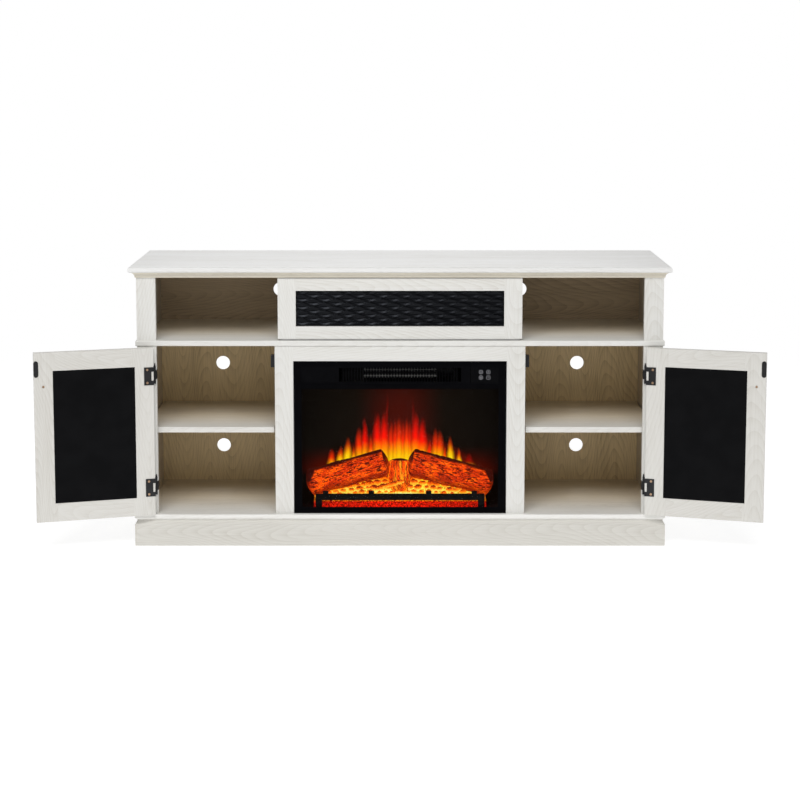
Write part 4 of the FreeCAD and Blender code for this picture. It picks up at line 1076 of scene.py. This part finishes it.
def signFinish():
    finish = Finish("signPale", {"Specular IOR Level": 0.3})
    fine = finish.evenCloud(signs["speckPitch"], 2)
    finish.feed({
        "Base Color": finish.mix(fine.fade(0.3, 0.7), *signs["tones"]),
        "Roughness": 0.4 + fine * 0.2,
    })
    return finish


def addStrip(corners, faces, run, front, closed):  # a raised strip along flat points
    half, rise = signs["line"] / 2, signs["rise"]
    count = len(run)
    start = len(corners)
    for step, (x, z) in enumerate(run):
        before = run[(step - 1) % count] if closed or step else run[step]
        after = run[(step + 1) % count] if closed or step < count - 1 else run[step]
        dx, dz = after[0] - before[0], after[1] - before[1]
        size = math.hypot(dx, dz)
        nx, nz = -dz / size * half, dx / size * half
        for sign in (1, -1):
            corners.append((x + sign * nx, front, z + sign * nz))
            corners.append((x + sign * nx, front - rise, z + sign * nz))
    for step in range(count if closed else count - 1):
        a = start + 4 * step
        b = start + 4 * ((step + 1) % count)
        faces += [(a + 1, b + 1, b + 3, a + 3), (a, b, b + 1, a + 1)]
        faces += [(a + 3, b + 3, b + 2, a + 2), (a, a + 2, b + 2, b)]
    if not closed:
        last = start + 4 * (count - 1)
        faces += [(start, start + 1, start + 3, start + 2), (last + 2, last + 3, last + 1, last)]


def makeSigns():
    finish = signFinish()
    turns = [2 * math.pi * k / signs["ringSteps"] for k in range(signs["ringSteps"])]
    ring = [(math.cos(turn), math.sin(turn)) for turn in turns]
    for name, strokes in signs["strokes"].items():
        low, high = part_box("button_" + name)
        middle = (low + high) / 2
        corners, faces = [], []
        for run, closed in [(ring, True)] + [(stroke, False) for stroke in strokes]:
            spots = [(middle.x + u * signs["ring"], middle.z + v * signs["ring"]) for u, v in run]
            addStrip(corners, faces, spots, low.y, closed)
        piece = addPiece("sign_" + name, corners, faces, finish, name + "_button", False)


makeSigns()
print("signs made")


# Floor, light and camera
stage = {
    "floor": 3.4,  # radius, and the radii between which it melts into the white
    "floorFade": (1.7, 3.332),
    "floorMesh": (16, 72),  # rings, and points round each
    "floorTones": ((0.44, 0.44, 0.44), (0.46, 0.46, 0.46)),
    "floorLights": ((0.92, 0.92, 0.92), (0.94, 0.94, 0.94)),
    "floorPitch": 2,
    "floorGlow": 0.85,
    "key": {"place": (0.65, -3.25, 3.7), "size": (1.8, 1.5), "power": 60, "glossy": False},
    "glint": {"place": (-1.15, -3.3, 3.6), "size": (1.9, 1.4), "power": 79},  # seen in the waves
    "rear": {"place": (-0.1, 4.2, 3.0), "size": (3.0, 2.0), "power": 63},
    "aim": (0.0, 0.0, 0.4),
    "sky": 0.22,
    "skyTone": (1.0, 1.0, 1.0),
    "camera": {"place": (0.0, -4.79507, 1.35461), "dip": 6.297, "lens": 77.229, "sensor": 36, "shift": -0.2},
}


def makeFloor():
    rings, around = stage["floorMesh"]
    corners = [(0.0, 0.0, 0.0)]
    for ring in range(1, rings + 1):
        reach = stage["floor"] * ring / rings
        for step in range(around):
            angle = 2 * math.pi * step / around
            corners.append((reach * math.cos(angle), reach * math.sin(angle), 0.0))
    faces = [(0, 1 + step, 1 + (step + 1) % around) for step in range(around)]
    for ring in range(rings - 1):
        inner = 1 + ring * around
        for step in range(around):
            after = (step + 1) % around
            faces.append((inner + step, inner + around + step, inner + around + after, inner + after))
    mesh = bpy.data.meshes.new("studio_floor")
    mesh.from_pydata(corners, [], faces)
    floor = bpy.data.objects.new("studio_floor", mesh)
    bpy.context.scene.collection.objects.link(floor)
    fixed = {"Specular IOR Level": 0.0, "Roughness": 0.9, "Emission Strength": stage["floorGlow"]}
    finish = Finish("floorPale", fixed)
    x, y, _ = finish.place()
    patch = finish.cloud(x * stage["floorPitch"], y * stage["floorPitch"], 0.0, 2)
    reach = (x * x + y * y) ** 0.5
    finish.feed({
        "Base Color": finish.mix(patch, *stage["floorTones"]),
        "Emission Color": finish.mix(patch, *stage["floorLights"]),
        "Alpha": 1 - reach.fade(*stage["floorFade"]),
    })
    mesh.materials.append(finish.material)


def makeLight(name):
    look = stage[name]
    light = bpy.data.lights.new(name + "_light", "AREA")
    light.shape = "RECTANGLE"
    light.size, light.size_y = look["size"]
    light.energy = look["power"]
    lamp = bpy.data.objects.new(name + "_light", light)
    lamp.location = look["place"]
    aim = Vector(stage["aim"]) - lamp.location
    lamp.rotation_euler = aim.to_track_quat("-Z", "Y").to_euler()
    lamp.visible_camera = False
    lamp.visible_glossy = look.get("glossy", True)
    bpy.context.scene.collection.objects.link(lamp)


def makeSky():  # white behind the object, and a dim even light from all round
    sky = Sky("studio")
    bpy.context.scene.world = sky.world
    white = opaque(stage["skyTone"])
    seen = sky.node("Background", {}, {"Color": white})
    dim = sky.node("Background", {}, {"Color": white, "Strength": stage["sky"]})
    camera = sky.node("LightPath", {}, {}, "Is Camera Ray")
    sky.feed({"Surface": sky.node("MixShader", {}, {0: camera, 1: dim, 2: seen})})


def makeCamera():
    look = stage["camera"]
    lens = bpy.data.cameras.new("camera")
    lens.lens = look["lens"]
    lens.sensor_width = look["sensor"]
    lens.shift_y = look["shift"]
    lens.dof.use_dof = False
    camera = bpy.data.objects.new("camera", lens)
    camera.location = look["place"]
    camera.rotation_euler = (math.radians(90 - look["dip"]), 0, 0)
    bpy.context.scene.collection.objects.link(camera)
    bpy.context.scene.camera = camera


makeFloor()
for name in ("key", "glint", "rear"):
    makeLight(name)
makeSky()
makeCamera()
bpy.context.scene.view_settings.view_transform = "Standard"
print("stage set")
